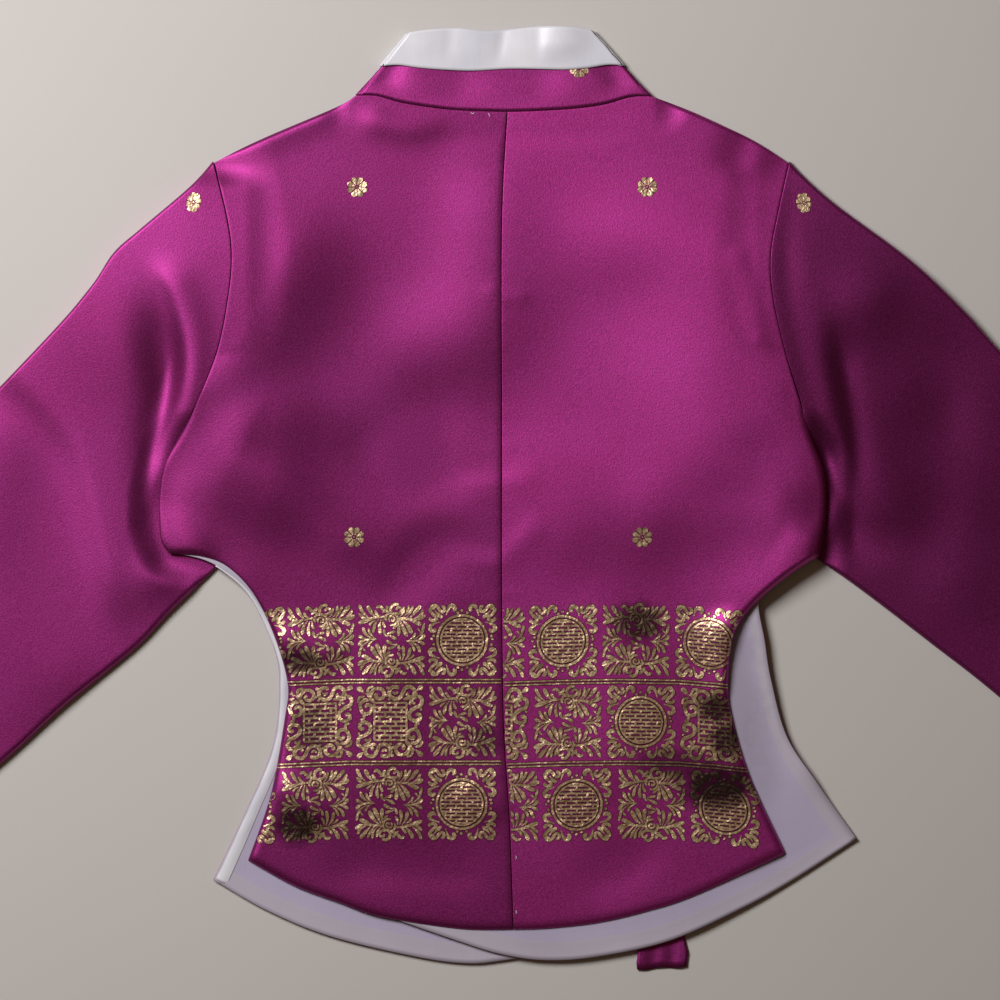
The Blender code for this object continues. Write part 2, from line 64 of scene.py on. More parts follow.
centreSeam = ((3.5, 262.5), (-0.3, 186), (-0.3, 60), (-0.3, -57), (1, -154), (5, -220), (7.5, -293.5))
collarPath = ((82, 295), (72, 250), (50, 205), (12, 170), (-38, 146), (-100, 128))
collarHalfWidth = 27.5

leftCut = {
    "sign": -1, "word": "Left",
    "neck": ((3.5, 262.5), (-27, 263.4), (-47.5, 265.4), (-68.5, 268.8), (-85, 273.3), (-99.5, 273.6)),
    "collarTop": ((8, 318.8), (-10, 317.4), (-30, 319.3), (-50.5, 318.2), (-64.4, 316)),
    "shoulder": ((-99.5, 273.6), (-111.5, 266), (-155, 247.5), (-177, 237.5), (-196, 228)),
    "armhole": ((-196, 228), (-187, 192), (-183.5, 165), (-186, 135), (-194, 97), (-211, 56), (-228, 24),
                (-232.5, 1)),
    "side": ((-232.5, 1), (-232.8, -15), (-231.5, -30), (-226, -38)),
    "backSlit": ((-226, -38), (-203, -39.8), (-185.5, -47.5), (-168, -66.5), (-154, -96), (-145.5, -127),
                 (-147.5, -150), (-157, -202), (-172.5, -247)),
    "backHem": ((7.5, -293.5), (-28.5, -293), (-81.5, -285), (-111, -275.2), (-141, -264.3),
                (-172.5, -247)),
    "frontSlit": ((-226, -38), (-206, -42), (-189, -51), (-171.5, -68), (-157, -98), (-151.6, -124),
                  (-156, -169.5), (-177, -219.5), (-196.5, -260.5)),
    "frontHem": ((80, -300), (40, -309), (0, -315.5), (-24, -317.4), (-58, -313), (-117, -299),
                 (-161, -281), (-196.5, -260.5)),
    "frontEdge": ((58, 96), (62, 0), (72, -150), (80, -300)),
    "sleeveTop": ((-196, 228), (-212, 211), (-246, 182), (-264, 166), (-281, 141), (-320, 97),
                  (-460, -48), (-586, -179)),
    "sleeveSeam": ((-190, -40), (-198, -50), (-226, -77), (-250, -102), (-298, -141), (-341, -180),
                   (-415, -240), (-478, -283.5)),
    "underarm": ((-224, 12), (-223, -12), (-214, -28), (-190, -40)),
}
rightCut = {
    "sign": 1, "word": "Right",
    "neck": ((3.5, 262.5), (22, 263), (49.5, 264.7), (70, 267.6), (88, 272.6), (102, 273)),
    "collarTop": ((8, 318.8), (28.5, 320.5), (49.5, 319.6), (62, 317.5)),
    "shoulder": ((102, 273), (128.5, 262.7), (150, 253), (172, 242.3), (195, 228)),
    "armhole": ((195, 228), (187.5, 195), (182, 165), (183.5, 136), (192, 98), (206, 52), (217, 22),
                (220, 3)),
    "side": ((220, 3), (219.6, -14), (217.5, -29), (215, -40)),
    "backSlit": ((215, -40), (194, -53.5), (172, -72), (158, -92), (153.7, -122), (155.5, -146),
                 (168, -189), (192.5, -242)),
    "backHem": ((7.5, -293.5), (31.5, -292.6), (64.5, -288.8), (97, -281.3), (130.5, -270.4),
                (192.5, -242)),
    "frontSlit": ((215, -40), (196, -47), (181.5, -57), (174.8, -71), (178.8, -98), (183, -124),
                  (194, -163), (215.5, -195.6), (241.7, -232.4)),
    "frontHem": ((-80, -284.5), (-28.5, -302.4), (0, -311), (30, -315), (64.5, -312.6), (114, -301.7),
                 (163, -280), (196.5, -261.6), (241.7, -232.4)),
    "frontEdge": ((-58, 96), (-62, 0), (-72, -150), (-80, -284.5)),
    "sleeveTop": ((195, 228), (207, 216), (228.5, 197.5), (278, 160.7), (315.5, 125), (338.6, 99),
                  (465, -40), (586, -172.5)),
    "sleeveSeam": ((202, -32), (215.5, -41.5), (243.5, -61), (291.5, -97.7), (338.6, -134.8),
                   (415, -202), (478, -276.5)),
    "underarm": ((214, 14), (212, -10), (208, -24), (202, -32)),
}

# where heights change in plan: (start of the change, where it is complete)
change = {
    "lapRight": (200, 125), "lapLeft": (-150, -70), "frontLapUp": (245, 205), "backLapUp": (262, 222),
    "underarm": {-1: (96, 176), 1: (108, 191)}, "underarmTop": (120, 58), "underarmBottom": (-110, -50),
    "underarmSpread": 12,  # the back is lifted this much further up than the front
    "armholeAcross": (150, 175), "armholeBottom": (50, 90), "armholeTop": (228, 208),
    "neckAcross": (122, 102), "neckUp": (225, 255), "collarSag": (95, 0), "tuck": (60, 26),
    "cuff": (300, 420), "sideLift": (-60, -5), "lapEnd": (-62, -42),
}


def smoothStep(x):
    x = np.clip(x, 0, 1)
    return x * x * (3 - 2 * x)


def fade(value, span):
    return smoothStep((value - span[0]) / (span[1] - span[0]))


def rise(distance, reach):  # quarter round from a free edge
    return np.sqrt(1 - (1 - np.clip(distance / reach, 0, 1)) ** 2)


def swell(distance, reach):  # soft rise from a seam
    return smoothStep(distance / reach)


def curveThrough(points, at, dense=24):
    p = np.array(points, float)
    p = np.vstack([p[:1], p, p[-1:]])
    t = np.arange(1, dense + 1)[:, None] / dense
    spans = [0.5 * (2 * b + (c - a) * t + (2 * a - 5 * b + 4 * c - d) * t ** 2
                    + (3 * b - a - 3 * c + d) * t ** 3)
             for a, b, c, d in zip(p, p[1:], p[2:], p[3:])]
    line = np.vstack([p[:1], *spans])
    run = arcRun(line)
    goal = np.asarray(at) * run[-1]
    return np.stack([np.interp(goal, run, line[:, k]) for k in range(line.shape[1])], axis=1)


def arcRun(line):
    return np.concatenate([[0], np.cumsum(np.linalg.norm(np.diff(line, axis=0), axis=1))])


def arcShares(line):
    run = arcRun(line)
    return run / run[-1]


def shares(steps):
    return np.arange(steps + 1) / steps


def borderShares(steps, length):  # even steps, with finer ones at both ends
    ends = np.array(cloth["edgeSteps"]) / length
    even = np.linspace(ends[-1], 1 - ends[-1], steps)
    return np.concatenate([[0], ends[:-1], even, 1 - ends[:-1][::-1], [1]])


def distanceTo(line, x, y):
    best = np.full(np.shape(x), np.inf)
    for (ax, ay), (bx, by) in zip(line[:-1, :2], line[1:, :2]):
        dx, dy = bx - ax, by - ay
        t = np.clip(((x - ax) * dx + (y - ay) * dy) / max(dx * dx + dy * dy, 1e-9), 0, 1)
        best = np.minimum(best, np.hypot(x - ax - t * dx, y - ay - t * dy))
    return best


def foldHeight(folds, x, y):
    # each fold: crest, height, half width on its left and on its right, how far its ends fade
    total = np.zeros(np.shape(x))
    for crest, height, widthLeft, widthRight, fadeLength in folds:
        length = arcRun(curveThrough(crest, shares(60)))[-1]
        steps = max(int(length / cloth["crestStep"]), 2)
        line = curveThrough(crest, shares(steps))
        ahead = np.gradient(line, axis=0)
        ahead = ahead / np.linalg.norm(ahead, axis=1)[:, None]
        for (px, py), (tx, ty) in zip(line, ahead):
            along, aside = (x - px) * tx + (y - py) * ty, (y - py) * tx - (x - px) * ty
            width = np.where(aside > 0, widthLeft, widthRight)
            weight = height * length / steps / (fadeLength * math.sqrt(math.pi))
            total += weight * np.exp(-(along / fadeLength) ** 2 - (aside / width) ** 2)
    return total


def softMaximum(first, second, blend):  # the larger of the two, never below either
    gap = first - second
    return (first + second + np.sqrt(gap * gap + blend * blend)) / 2


def fillPatch(top, bottom, inner, outer, rowShares, columnShares):
    v, u = rowShares[:, None, None], columnShares[None, :, None]
    return ((1 - v) * top[None] + v * bottom[None] + (1 - u) * inner[:, None] + u * outer[:, None]
            - (1 - v) * ((1 - u) * top[0] + u * top[-1]) - v * ((1 - u) * bottom[0] + u * bottom[-1]))


def joinedCurve(parts, at):  # parts: (points, where it starts, where it ends) on a scale from 0 to 1
    found = np.zeros((len(at), 2))
    for points, start, end in parts:
        here = (at >= start - 1e-9) & (at <= end + 1e-9)
        found[here] = curveThrough(points, (at[here] - start) / (end - start))
    return found


def insideOf(outline, x, y):
    found = np.zeros(np.shape(x), bool)
    for (ax, ay), (bx, by) in zip(outline, np.roll(outline, -1, axis=0)):
        drop = by - ay if by != ay else 1e-9
        found ^= ((ay > y) != (by > y)) & (x < ax + (bx - ax) * (y - ay) / drop)
    return found


def lapShare(x):
    return fade(x, change["lapRight"]) * fade(x, change["lapLeft"])


def overSleeve(side, x, y):
    across = fade(side["sign"] * x, change["underarm"][side["sign"]])
    return across * fade(y, change["underarmTop"]) * fade(y, change["underarmBottom"])


def frontHeight(side, x, y):
    z = level["front"] + level["underarmLift"] * overSleeve(side, x, y)
    z = z + np.maximum(foldHeight(front["folds"][side["word"]], x, y), 0)
    if side["sign"] > 0:
        z = z + level["lapLift"] * lapShare(x) * fade(y, change["frontLapUp"])
    return z


def backFloor(side, x, y):
    lapped = level["lapLift"] * lapShare(x) * fade(y, change["backLapUp"])
    overIt = np.maximum(overSleeve(side, x, y), overSleeve(side, x, y - change["underarmSpread"]))
    lifted = level["underarmLift"] * overIt
    return level["front"] + level["lining"] + level["backAboveLining"] + lapped + lifted


def gridMesh(name, rows, closed=False, probe=None):  # its faces turn so that the one at probe looks up
    rows = np.asarray(rows, float)
    count, columns = rows.shape[:2]
    i, k = np.meshgrid(np.arange(count - 1), np.arange(columns if closed else columns - 1), indexing="ij")
    a, b = i * columns + k, i * columns + (k + 1) % columns
    faces = np.stack([a, b, b + columns, a + columns], axis=-1).reshape(-1, 4)
    middle = probe or (count // 2, columns // 2)
    p, q, r = rows[middle], rows[middle[0], middle[1] + 1], rows[middle[0] + 1, middle[1]]
    if np.cross(q - p, r - p)[2] < 0:
        faces = faces[:, ::-1]
    return meshFrom(name, rows.reshape(-1, 3), faces)


def meshFrom(name, points, faces):
    faces = np.asarray(faces)
    mesh = bpy.data.meshes.new(name)
    mesh.vertices.add(len(points))
    mesh.vertices.foreach_set("co", (np.asarray(points, float) * mm).astype(np.float32).ravel())
    mesh.loops.add(faces.size)
    mesh.loops.foreach_set("vertex_index", faces.astype(np.int32).ravel())
    mesh.polygons.add(len(faces))
    mesh.polygons.foreach_set("loop_start", np.arange(0, faces.size, faces.shape[1], dtype=np.int32))
    mesh.update(calc_edges=True)
    mesh.validate()
    mesh.shade_smooth()
    piece = bpy.data.objects.new(name, mesh)
    bpy.context.scene.collection.objects.link(piece)
    return piece


def thicken(piece, wall, outside, inside=None):
    piece.data.materials.append(outside)
    piece.data.materials.append(inside or outside)
    shell = piece.modifiers.new("wall", "SOLIDIFY")
    shell.thickness = wall * mm
    shell.offset = 0
    shell.material_offset = 1
    return piece


def settle(piece, slot, nodes=()):
    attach(piece, "root")
    if nodes:
        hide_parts(*nodes)
    print("made", piece.name, len(piece.data.polygons), "faces")
    return piece


class Wire:  # an output that is worked with like a number
    def __init__(self, finish, socket):
        self.finish, self.socket = finish, socket

    def maths(self, operation, *values):
        return self.finish.node("ShaderNodeMath", {"operation": operation}, values)

    def __add__(self, other):
        return self.maths("ADD", self, other)

    def __radd__(self, other):
        return self.maths("ADD", other, self)

    def __sub__(self, other):
        return self.maths("SUBTRACT", self, other)

    def __rsub__(self, other):
        return self.maths("SUBTRACT", other, self)

    def __mul__(self, other):
        return self.maths("MULTIPLY", self, other)

    def __rmul__(self, other):
        return self.maths("MULTIPLY", other, self)


class Finish:
    def __init__(self, name):
        self.material = bpy.data.materials.new(name)
        self.material.use_nodes = True
        self.tree = self.material.node_tree
        self.tree.nodes.clear()

    def node(self, kind, settings=None, values=(), out=0):
        made = self.tree.nodes.new(kind)
        for key, value in (settings or {}).items():
            setattr(made, key, value)
        for key, value in (values.items() if isinstance(values, dict) else enumerate(values)):
            if isinstance(value, Wire):
                self.tree.links.new(value.socket, made.inputs[key])
            else:
                made.inputs[key].default_value = value
        return Wire(self, made.outputs[out]) if made.outputs else made

    def place(self, stretch=(1, 1, 1), turn=0):  # the cloth's own coordinates, in metres
        at = self.node("ShaderNodeTexCoord", out="Object")
        return self.node("ShaderNodeMapping", {},
                         {"Vector": at, "Scale": stretch, "Rotation": (0, 0, turn)})

    def noise(self, vector, scale, detail=2, roughness=0.5):
        return self.node("ShaderNodeTexNoise", {},
                         {"Vector": vector, "Scale": scale, "Detail": detail, "Roughness": roughness})

    def mix(self, factor, first, second):  # two colours
        return self.node("ShaderNodeMix", {"data_type": "RGBA", "clamp_factor": True},
                         {0: factor, 6: first, 7: second}, out=2)

    def range(self, value, fromLow, fromHigh, low, high):
        return self.node("ShaderNodeMapRange", {}, (value, fromLow, fromHigh, low, high))

    def bump(self, height, distance):
        return self.node("ShaderNodeBump", {}, {"Distance": distance, "Height": height})

    def surface(self, values):
        shader = self.node("ShaderNodeBsdfPrincipled", {}, values)
        self.node("ShaderNodeOutputMaterial", {}, {"Surface": shader})
        return self.material


paintedShadeSpots = {
    # painted shade and dark reflection: spots where the gold, the satin and the rim are darkened, in mm:
    # middle, half width, half height, how dark
    "print": ((-140, -222, 17, 16, 0.95), (-138, -111, 18, 10, 0.8), (92, -85, 20, 16, 0.85),
              (147, -196, 31, 18, 1.0), (145, -143, 14, 11, 0.9), (153, -165, 13, 15, 0.9),
              (-12, -165, 14, 13, 0.5), (-130, -156, 15, 20, 0.5), (116, -181, 26, 11, 0.6)),
    # shade on the lining beside the right slit
    "lining": ((160, -130, 22, 70, 0.8), (176, -176, 14, 40, 0.45)),
    "noise": 140, "detail": 3, "ragged": 0.7, "edge": (0.85, 1.5),
}


# darkens the colour towards the painted shade colour round each spot of the table
def paintShadeSpots(f, look, place, colour):
    for x, y, wide, high, strength in paintedShadeSpots[look["paintedShadeSpots"]]:
        off = f.node("ShaderNodeVectorMath", {"operation": "SUBTRACT"}, (place, (x * mm, y * mm, 0)))
        scale = (1000 / wide, 1000 / high, 0)
        off = f.node("ShaderNodeVectorMath", {"operation": "MULTIPLY"}, (off, scale))
        away = f.node("ShaderNodeVectorMath", {"operation": "LENGTH"}, (off,), out=1)
        away = away + f.noise(place, paintedShadeSpots["noise"], paintedShadeSpots["detail"]) * paintedShadeSpots["ragged"]
        share = f.range(away, *paintedShadeSpots["edge"], strength * look["paintedShadeShare"], 0)
        colour = f.mix(share, colour, look["paintedShadeColour"])
    return colour


satinLook = {
    "bright": (0.372, 0.034, 0.234, 1), "deep": (0.33, 0.027, 0.193, 1),
    "hollow": (0.05, 0.001, 0.015, 1), "hollowShare": 0.24,  # painted shade between the threads
    "crown": (0.9, 0.25, 0.75, 1), "crownShare": 0.035,  # painted highlight on top of them
    # painted shade over the satin at the dark spots of the print
    "paintedShadeSpots": "print", "paintedShadeColour": (0.035, 0.006, 0.014, 1), "paintedShadeShare": 0.92,
    "metallic": 0.95, "roughness": 0.5, "grain": 880, "grainDepth": 0.00019, "weave": 2600,
    "sheen": 0.12, "sheenRoughness": 0.4, "sheenTint": (0.9, 0.5, 0.75, 1),
    # painted light: each panel's satin is made lighter or darker for how its sheen meets the lamp
    "paintedLightTones": {"backLeft": 0.86, "backRight": 1.3, "sleeveLeft": 0.94, "sleeveRight": 0.67},
}


def satinFinish(name, look, paintedLightTone=1.0):  # paintedLightTone: painted light, how the threads of a panel lie to the light, as a lighter or darker colour
    f = Finish(name)
    bright, deep = ((*(part * paintedLightTone for part in look[key][:3]), 1) for key in ("bright", "deep"))
    place = f.place()
    patch = f.noise(place, 9, 3)
    grain = f.noise(place, look["grain"], 3, 0.65)
    floats = f.noise(f.place((look["weave"], look["weave"] / 6, 1), 0.6), 1, 2)
    colour = f.mix(f.range(patch, 0.35, 0.65, 0, 1), deep, bright)
    # the grain mixes painted shade and painted highlight into the colour
    hollows = f.mix(look["hollowShare"], colour, look["hollow"])
    crowns = f.mix(look["crownShare"], colour, look["crown"])
    colour = f.mix(f.range(grain, 0.36, 0.64, 0, 1), hollows, crowns)
    colour = paintShadeSpots(f, look, place, colour)
    rough = look["roughness"] + (grain - 0.5) * 0.12
    return f.surface({
        "Base Color": colour, "Roughness": rough, "Metallic": look["metallic"],
        "Normal": f.bump(grain * 0.7 + floats * 0.3, look["grainDepth"]),
        "Sheen Weight": look["sheen"], "Sheen Roughness": look["sheenRoughness"],
        "Sheen Tint": look["sheenTint"],
    })


liningLook = {
    "colour": (0.505, 0.455, 0.63, 1), "shade": (0.45, 0.40, 0.57, 1), "thread": (0.34, 0.29, 0.40, 1),
    "roughness": 0.68, "threads": 2200, "depth": 0.00004, "sheen": 0.15,
    # painted shade on the lining beside the right slit
    "paintedShadeSpots": "lining", "paintedShadeColour": (0.27, 0.23, 0.29, 1), "paintedShadeShare": 0.5,
}
hemLook = {**liningLook, "colour": (0.53, 0.485, 0.59, 1), "shade": (0.47, 0.425, 0.53, 1)}


def liningFinish(name, look):
    f = Finish(name)
    across = f.noise(f.place((look["threads"], 30, 1)), 1, 2)
    along = f.noise(f.place((30, look["threads"], 1)), 1, 2)
    weave = (across + along) * 0.5
    patch = f.range(f.noise(f.place(), 16, 3), 0.3, 0.7, 0, 1)
    colour = f.mix(patch, look["shade"], look["colour"])
    colour = f.mix(f.range(weave, 0.35, 0.65, 0, 0.16), colour, look["thread"])
    colour = paintShadeSpots(f, look, f.place(), colour)
    return f.surface({
        "Base Color": colour, "Roughness": look["roughness"] + (weave - 0.5) * 0.2,
        "Normal": f.bump(weave, look["depth"]), "Sheen Weight": look["sheen"],
    })


trimLook = {
    "colour": (0.80, 0.80, 0.88, 1), "shade": (0.70, 0.70, 0.80, 1), "roughness": 0.36,
    "depth": 0.00025, "sheen": 0.1,
}


def trimFinish(name, look):
    f = Finish(name)
    patch = f.noise(f.place(), 26, 3)
    grain = f.noise(f.place((900, 250, 1)), 1, 2)
    creases = f.noise(f.place((160, 45, 1), 0.3), 1, 3, 0.6)
    colour = f.mix(f.range(patch, 0.35, 0.65, 0, 1), look["shade"], look["colour"])
    return f.surface({
        "Base Color": colour, "Roughness": look["roughness"] + (grain - 0.5) * 0.15,
        "Normal": f.bump(grain * 0.12 + creases * 0.5, look["depth"]), "Sheen Weight": look["sheen"],
    })


foilLook = {
    "bright": (1.0, 0.76, 0.48, 1), "dull": (0.68, 0.47, 0.31, 1), "crack": (0.20, 0.10, 0.10, 1),
    "metallic": 0.9, "roughness": 0.38, "wrinkles": 150, "wrinkleDepth": 0.0013,
    # painted dark reflection on the gold at the dark spots of the print
    "paintedShadeSpots": "print", "paintedShadeColour": (0.045, 0.026, 0.02, 1), "paintedShadeShare": 0.97,
}


def foilFinish(name, look):
    f = Finish(name)
    place = f.place()
    wear = f.noise(place, 55, 4, 0.6)
    cracks = f.noise(place, 1500, 3, 0.7)
    wrinkles = f.noise(place, look["wrinkles"], 3, 0.55)
    colour = f.mix(f.range(wear, 0.35, 0.65, 0, 1), look["dull"], look["bright"])
    colour = f.mix(f.range(cracks, 0.2, 0.5, 0.45, 0), colour, look["crack"])
    colour = paintShadeSpots(f, look, place, colour)
    return f.surface({
        "Base Color": colour, "Metallic": look["metallic"],
        "Roughness": look["roughness"] + (cracks - 0.5) * 0.25,
        "Normal": f.bump(wrinkles + cracks * 0.05, look["wrinkleDepth"]),
    })


# painted shade round the gold strokes, darker still at the dark spots of the print
rimShadeLook = {
    "colour": (0.12, 0.018, 0.035, 1), "shade": (0.075, 0.012, 0.016, 1), "metallic": 0.85,
    "roughness": 0.5, "depth": 0.00004,
    "paintedShadeSpots": "print", "paintedShadeColour": (0.03, 0.008, 0.015, 1), "paintedShadeShare": 1,
}


def rimShadeFinish(name, look):  # painted shade: the dark rim round the gold
    f = Finish(name)
    place = f.place()
    patch = f.range(f.noise(place, 300, 3), 0.3, 0.7, 0, 1)
    colour = f.mix(patch, look["shade"], look["colour"])
    colour = paintShadeSpots(f, look, place, colour)
    return f.surface({
        "Base Color": colour, "Metallic": look["metallic"],
        "Roughness": look["roughness"] + (f.noise(place, 900) - 0.5) * 0.1,
        "Normal": f.bump(f.noise(place, 1200), look["depth"]),
    })


satinMade = satinFinish("satin", satinLook)
# copies of the satin, one for each panel, lit and shaded by painted light
satinPanels = {name: satinFinish("satin" + name[0].upper() + name[1:], satinLook, paintedLightTone)
               for name, paintedLightTone in satinLook["paintedLightTones"].items()}
liningMade = liningFinish("lining", liningLook)
hemMade = liningFinish("liningHem", hemLook)
trimMade = trimFinish("trim", trimLook)
foilMade = foilFinish("foil", foilLook)
rimShadeMade = rimShadeFinish("rimShade", rimShadeLook)
threadMade = trimFinish("thread", trimLook)
print("finishes made")


billows = (  # swells that body and sleeve share across the armhole seam
    (((-140, 185), (-170, 125), (-215, 55)), 8.5, 45, 160, 30),
    (((170, 185), (165, 115), (180, -15)), 10.5, 120, 135, 30),
)

back = {
    "rowsArmhole": 92, "rowsSide": 16, "rowsSlit": 96, "columns": 92,
    "borderRun": 240, "borderWidth": 200,  # lengths that the finer steps at the edges are set for
    "rowShares": (0.35, 0.65),  # rows spaced by the run of the edge, and by its drop
    "neckShare": 5 / 11,
    "reach": {"shoulder": (3, rise), "armhole": (42, swell), "neck": (30, swell), "side": (4, rise),
              "backSlit": (4, rise), "backHem": (5, rise)},
    # the edge that lies over the sleeve comes down onto it
    "overLap": (66, 32), "lapReach": 3.5, "lapHeight": 0.5,
    "blend": 1.2, "puckerBlend": 0.3,  # how softly folds and puckers meet the layer below
    "seamValley": (0.35, 2.2),  # depth and half width
    "puckers": {"seed": 11, "count": 46, "from": 250, "to": -285, "shift": 5, "high": (0.02, 0.14),
                "wide": (2.2, 4.5), "reach": (5, 15), "slant": 0.35},
    # crest, height, half width on its left and on its right, taper
    "folds": (
        # broad swells and hollows of the shoulders and the shoulder blades
        (((-145, 255), (-145, 165), (-160, 80)), -1, 250, 55, 20),
        (((-5, 220), (-10, 160), (-5, 100), (-65, 115)), 3.5, 35, 35, 30),
        (((70, 145), (100, 65), (95, -25)), -2.5, 55, 60, 25),
        (((-90, 262), (-60, 255), (-45, 262)), 3.4, 10, 12, 10),
        (((162, 165), (175, 122), (186, 104)), 1.2, 6, 9, 6),
        (((175, 108), (186, 100), (193, 97)), 1, 4, 6, 4),
        # along the shoulder seams
        (((-180, 234), (-154, 246), (-118, 262)), 0.9, 5, 10, 10),
        (((170, 256), (166, 242), (160, 226)), -2.2, 12, 14, 8),
        # towards the underarms
        (((-155, 65), (-155, 30), (-170, -15)), 5, 35, 90, 20),
        (((-180, 20), (-145, 5), (-100, -35)), 2, 15, 20, 15),
        (((-225, 10), (-225, -10), (-205, -40)), 3, 15, 20, 10),
        (((215, -10), (210, -20), (195, -90)), 8.5, 15, 45, 20),
        (((185, 40), (195, 0), (180, -35)), -2, 15, 50, 15),
        # across the waist
        (((-95, 40), (-60, 10), (-25, 20)), -2.6, 50, 20, 20),
        (((-75, -65), (-45, -30), (-20, -35)), -2, 15, 20, 20),
        (((30, -30), (110, 10), (175, -85)), 2, 55, 40, 20),
        (((-46, 8), (-22, 7), (-1, 8), (18, 12)), 0.5, 10, 12, 10),
        (((0, -42), (12, -32), (22, -20)), 0.5, 8, 10, 8),
        (((-32, -41), (-18, -44), (-4, -47)), 0.4, 8, 8, 8),
        (((-7, 140), (2, 137), (12, 136)), 0.4, 5, 6, 6),
        # in the skirt, printed and plain
        (((150, -85), (157, -105), (160, -128)), 4, 12, 17, 8),
        (((-148, -95), (-130, -99), (-116, -108)), 2, 11, 11, 7),
        (((-148, -196), (-136, -204), (-127, -218)), 2.5, 12, 12, 7),
        (((-24, -201), (-12, -207), (-6, -214)), 1.2, 12, 12, 7),
        (((-62, -80), (-84, -130), (-78, -200)), 1.5, 26, 30, 20),
        (((62, -68), (88, -110), (80, -190)), 1.5, 30, 26, 20),
        (((-25, -255), (-60, -250), (-105, -250)), -2, 15, 25, 20),
        (((60, -260), (80, -255), (100, -240)), -1.5, 20, 15, 20),
    ),
}


def seamAt(y):  # where the centre seam lies across, at a height up the back
    line = curveThrough(centreSeam, shares(120))[::-1]
    return np.interp(y, line[:, 1], line[:, 0])


def seamPuckers(x, y, turned):
    row, (depth, halfWidth) = back["puckers"], back["seamValley"]
    draw = np.random.default_rng(row["seed"])
    d = np.abs(x - seamAt(y))
    z = -turned * depth * np.exp(-(d / halfWidth) ** 2)
    for place in np.linspace(row["from"], row["to"], row["count"]):
        place += draw.uniform(-row["shift"], row["shift"])
        high, wide, reach = (draw.uniform(*row[key]) for key in ("high", "wide", "reach"))
        slant = draw.uniform(-row["slant"], row["slant"])
        z = z + high * np.exp(-((y - place - slant * (x - seamAt(y))) / wide) ** 2 - (d / reach) ** 2)
    return z


edgeParts = {"armhole": 8, "side": 10, "all": 22}  # the outer edge in parts: where its stretches end
armholeShare = edgeParts["armhole"] / edgeParts["all"]
sideShare = edgeParts["side"] / edgeParts["all"]


def outerEdge(side, slit, at):
    return joinedCurve(((side["armhole"], 0, armholeShare), (side["side"], armholeShare, sideShare),
                        (side[slit], sideShare, 1)), at)


def backHeight(side, x, y):
    floor, bulge = backFloor(side, x, y), foldHeight(billows, x, y)
    fromSeam = side["sign"] * (x - seamAt(y))
    atArmhole = (fade(side["sign"] * x, change["armholeAcross"]) * fade(y, change["armholeBottom"])
                 * fade(y, change["armholeTop"]))
    atNeck = fade(np.abs(x), change["neckAcross"]) * fade(y, change["neckUp"])
    lifted = bulge * fade(y, change["sideLift"]) * fade(y, change["armholeTop"])
    armholeEdge = floor + (level["armhole"] - floor) * atArmhole
    neckEdge = floor + (level["neck"] - floor) * atNeck
    edge = np.maximum(armholeEdge, neckEdge) + lifted
    z = softMaximum(level["back"] + bulge + foldHeight(back["folds"], x, y), floor, back["blend"])
    z = softMaximum(z + seamPuckers(x, y, side["sign"] < 0), floor, back["puckerBlend"])
    # at the centre seam only the left edge turns down
    nearest = fromSeam if side["sign"] < 0 else np.full_like(fromSeam, np.inf)
    for name, (reach, profile) in back["reach"].items():
        distance = distanceTo(curveThrough(side[name], shares(40)), x, y)
        z = edge + (z - edge) * profile(distance, reach)
        nearest = np.minimum(nearest, distance)
    outer = distanceTo(outerEdge(side, "backSlit", shares(3 * edgeParts["all"])), x, y)
    lapped = fade(y, back["overLap"]) * fade(y, change["lapEnd"]) * (1 - rise(outer, back["lapReach"]))
    z = z - np.maximum(z - floor - back["lapHeight"], 0) * lapped
    return z - cloth["edgeRound"] * (1 - rise(nearest, cloth["edgeReach"]))


def backPanel(side):
    first, second, whole = edgeParts.values()
    fine = len(cloth["edgeSteps"])
    atArmhole = borderShares(back["rowsArmhole"], back["borderRun"])[:-fine] * first
    atSide = first + (second - first) * shares(back["rowsSide"])[1:]
    atSlit = second + (whole - second) * borderShares(back["rowsSlit"], back["borderRun"])[fine:]
    outer = outerEdge(side, "backSlit", np.concatenate([atArmhole, atSide, atSlit]) / whole)
    drop = outer[0, 1] - outer[-1, 1]
    byRun, byDrop = back["rowShares"]
    rowShares = byRun * arcShares(outer) + byDrop * (outer[0, 1] - outer[:, 1]) / drop
    columnShares = borderShares(back["columns"], back["borderWidth"])
    halfGap = side["sign"] * cloth["centreGap"] / 2
    inner = curveThrough(centreSeam, rowShares) + (halfGap, 0)
    neckEnd = back["neckShare"]
    top = joinedCurve(((side["neck"], 0, neckEnd), (side["shoulder"], neckEnd, 1)), columnShares)
    top[:, 1] -= cloth["seamGap"]
    top[:, 0] += halfGap * (1 - columnShares)
    inner[0], outer[0] = top[0], top[-1]
    bottom = curveThrough(side["backHem"], columnShares)
    bottom[:, 0] += halfGap * (1 - columnShares)
    plan = fillPatch(top, bottom, inner, outer, rowShares, columnShares)
    z = backHeight(side, plan[..., 0], plan[..., 1])
    return gridMesh("back" + side["word"], np.dstack([plan, z]))


backs = {}
for side in (leftCut, rightCut):
    panel = thicken(backPanel(side), cloth["wall"], satinPanels["back" + side["word"]], liningMade)
    backs[side["word"]] = settle(panel, "satin", ["back_" + side["word"].lower()])


seamTape = {
    "width": 9, "wall": 0.3, "rows": 200, "columns": 5, "from": 0.004, "to": 0.99,
    "under": 1.1, "beside": 1,  # how far it lies under the back, measured this far beside the seam
}
at = seamTape["from"] + (seamTape["to"] - seamTape["from"]) * shares(seamTape["rows"])
line = curveThrough(centreSeam, at)
tapeRows = np.zeros((len(at), seamTape["columns"], 3))
tapeRows[..., :2] = line[:, None]
tapeRows[..., 0] += np.linspace(-0.5, 0.5, seamTape["columns"]) * seamTape["width"]
above = backHeight(leftCut, line[:, 0] - seamTape["beside"], line[:, 1])
tapeRows[..., 2] = (above - seamTape["under"])[:, None]
settle(thicken(gridMesh("seamTape", tapeRows), seamTape["wall"], satinMade), "satin")
print("backs made")


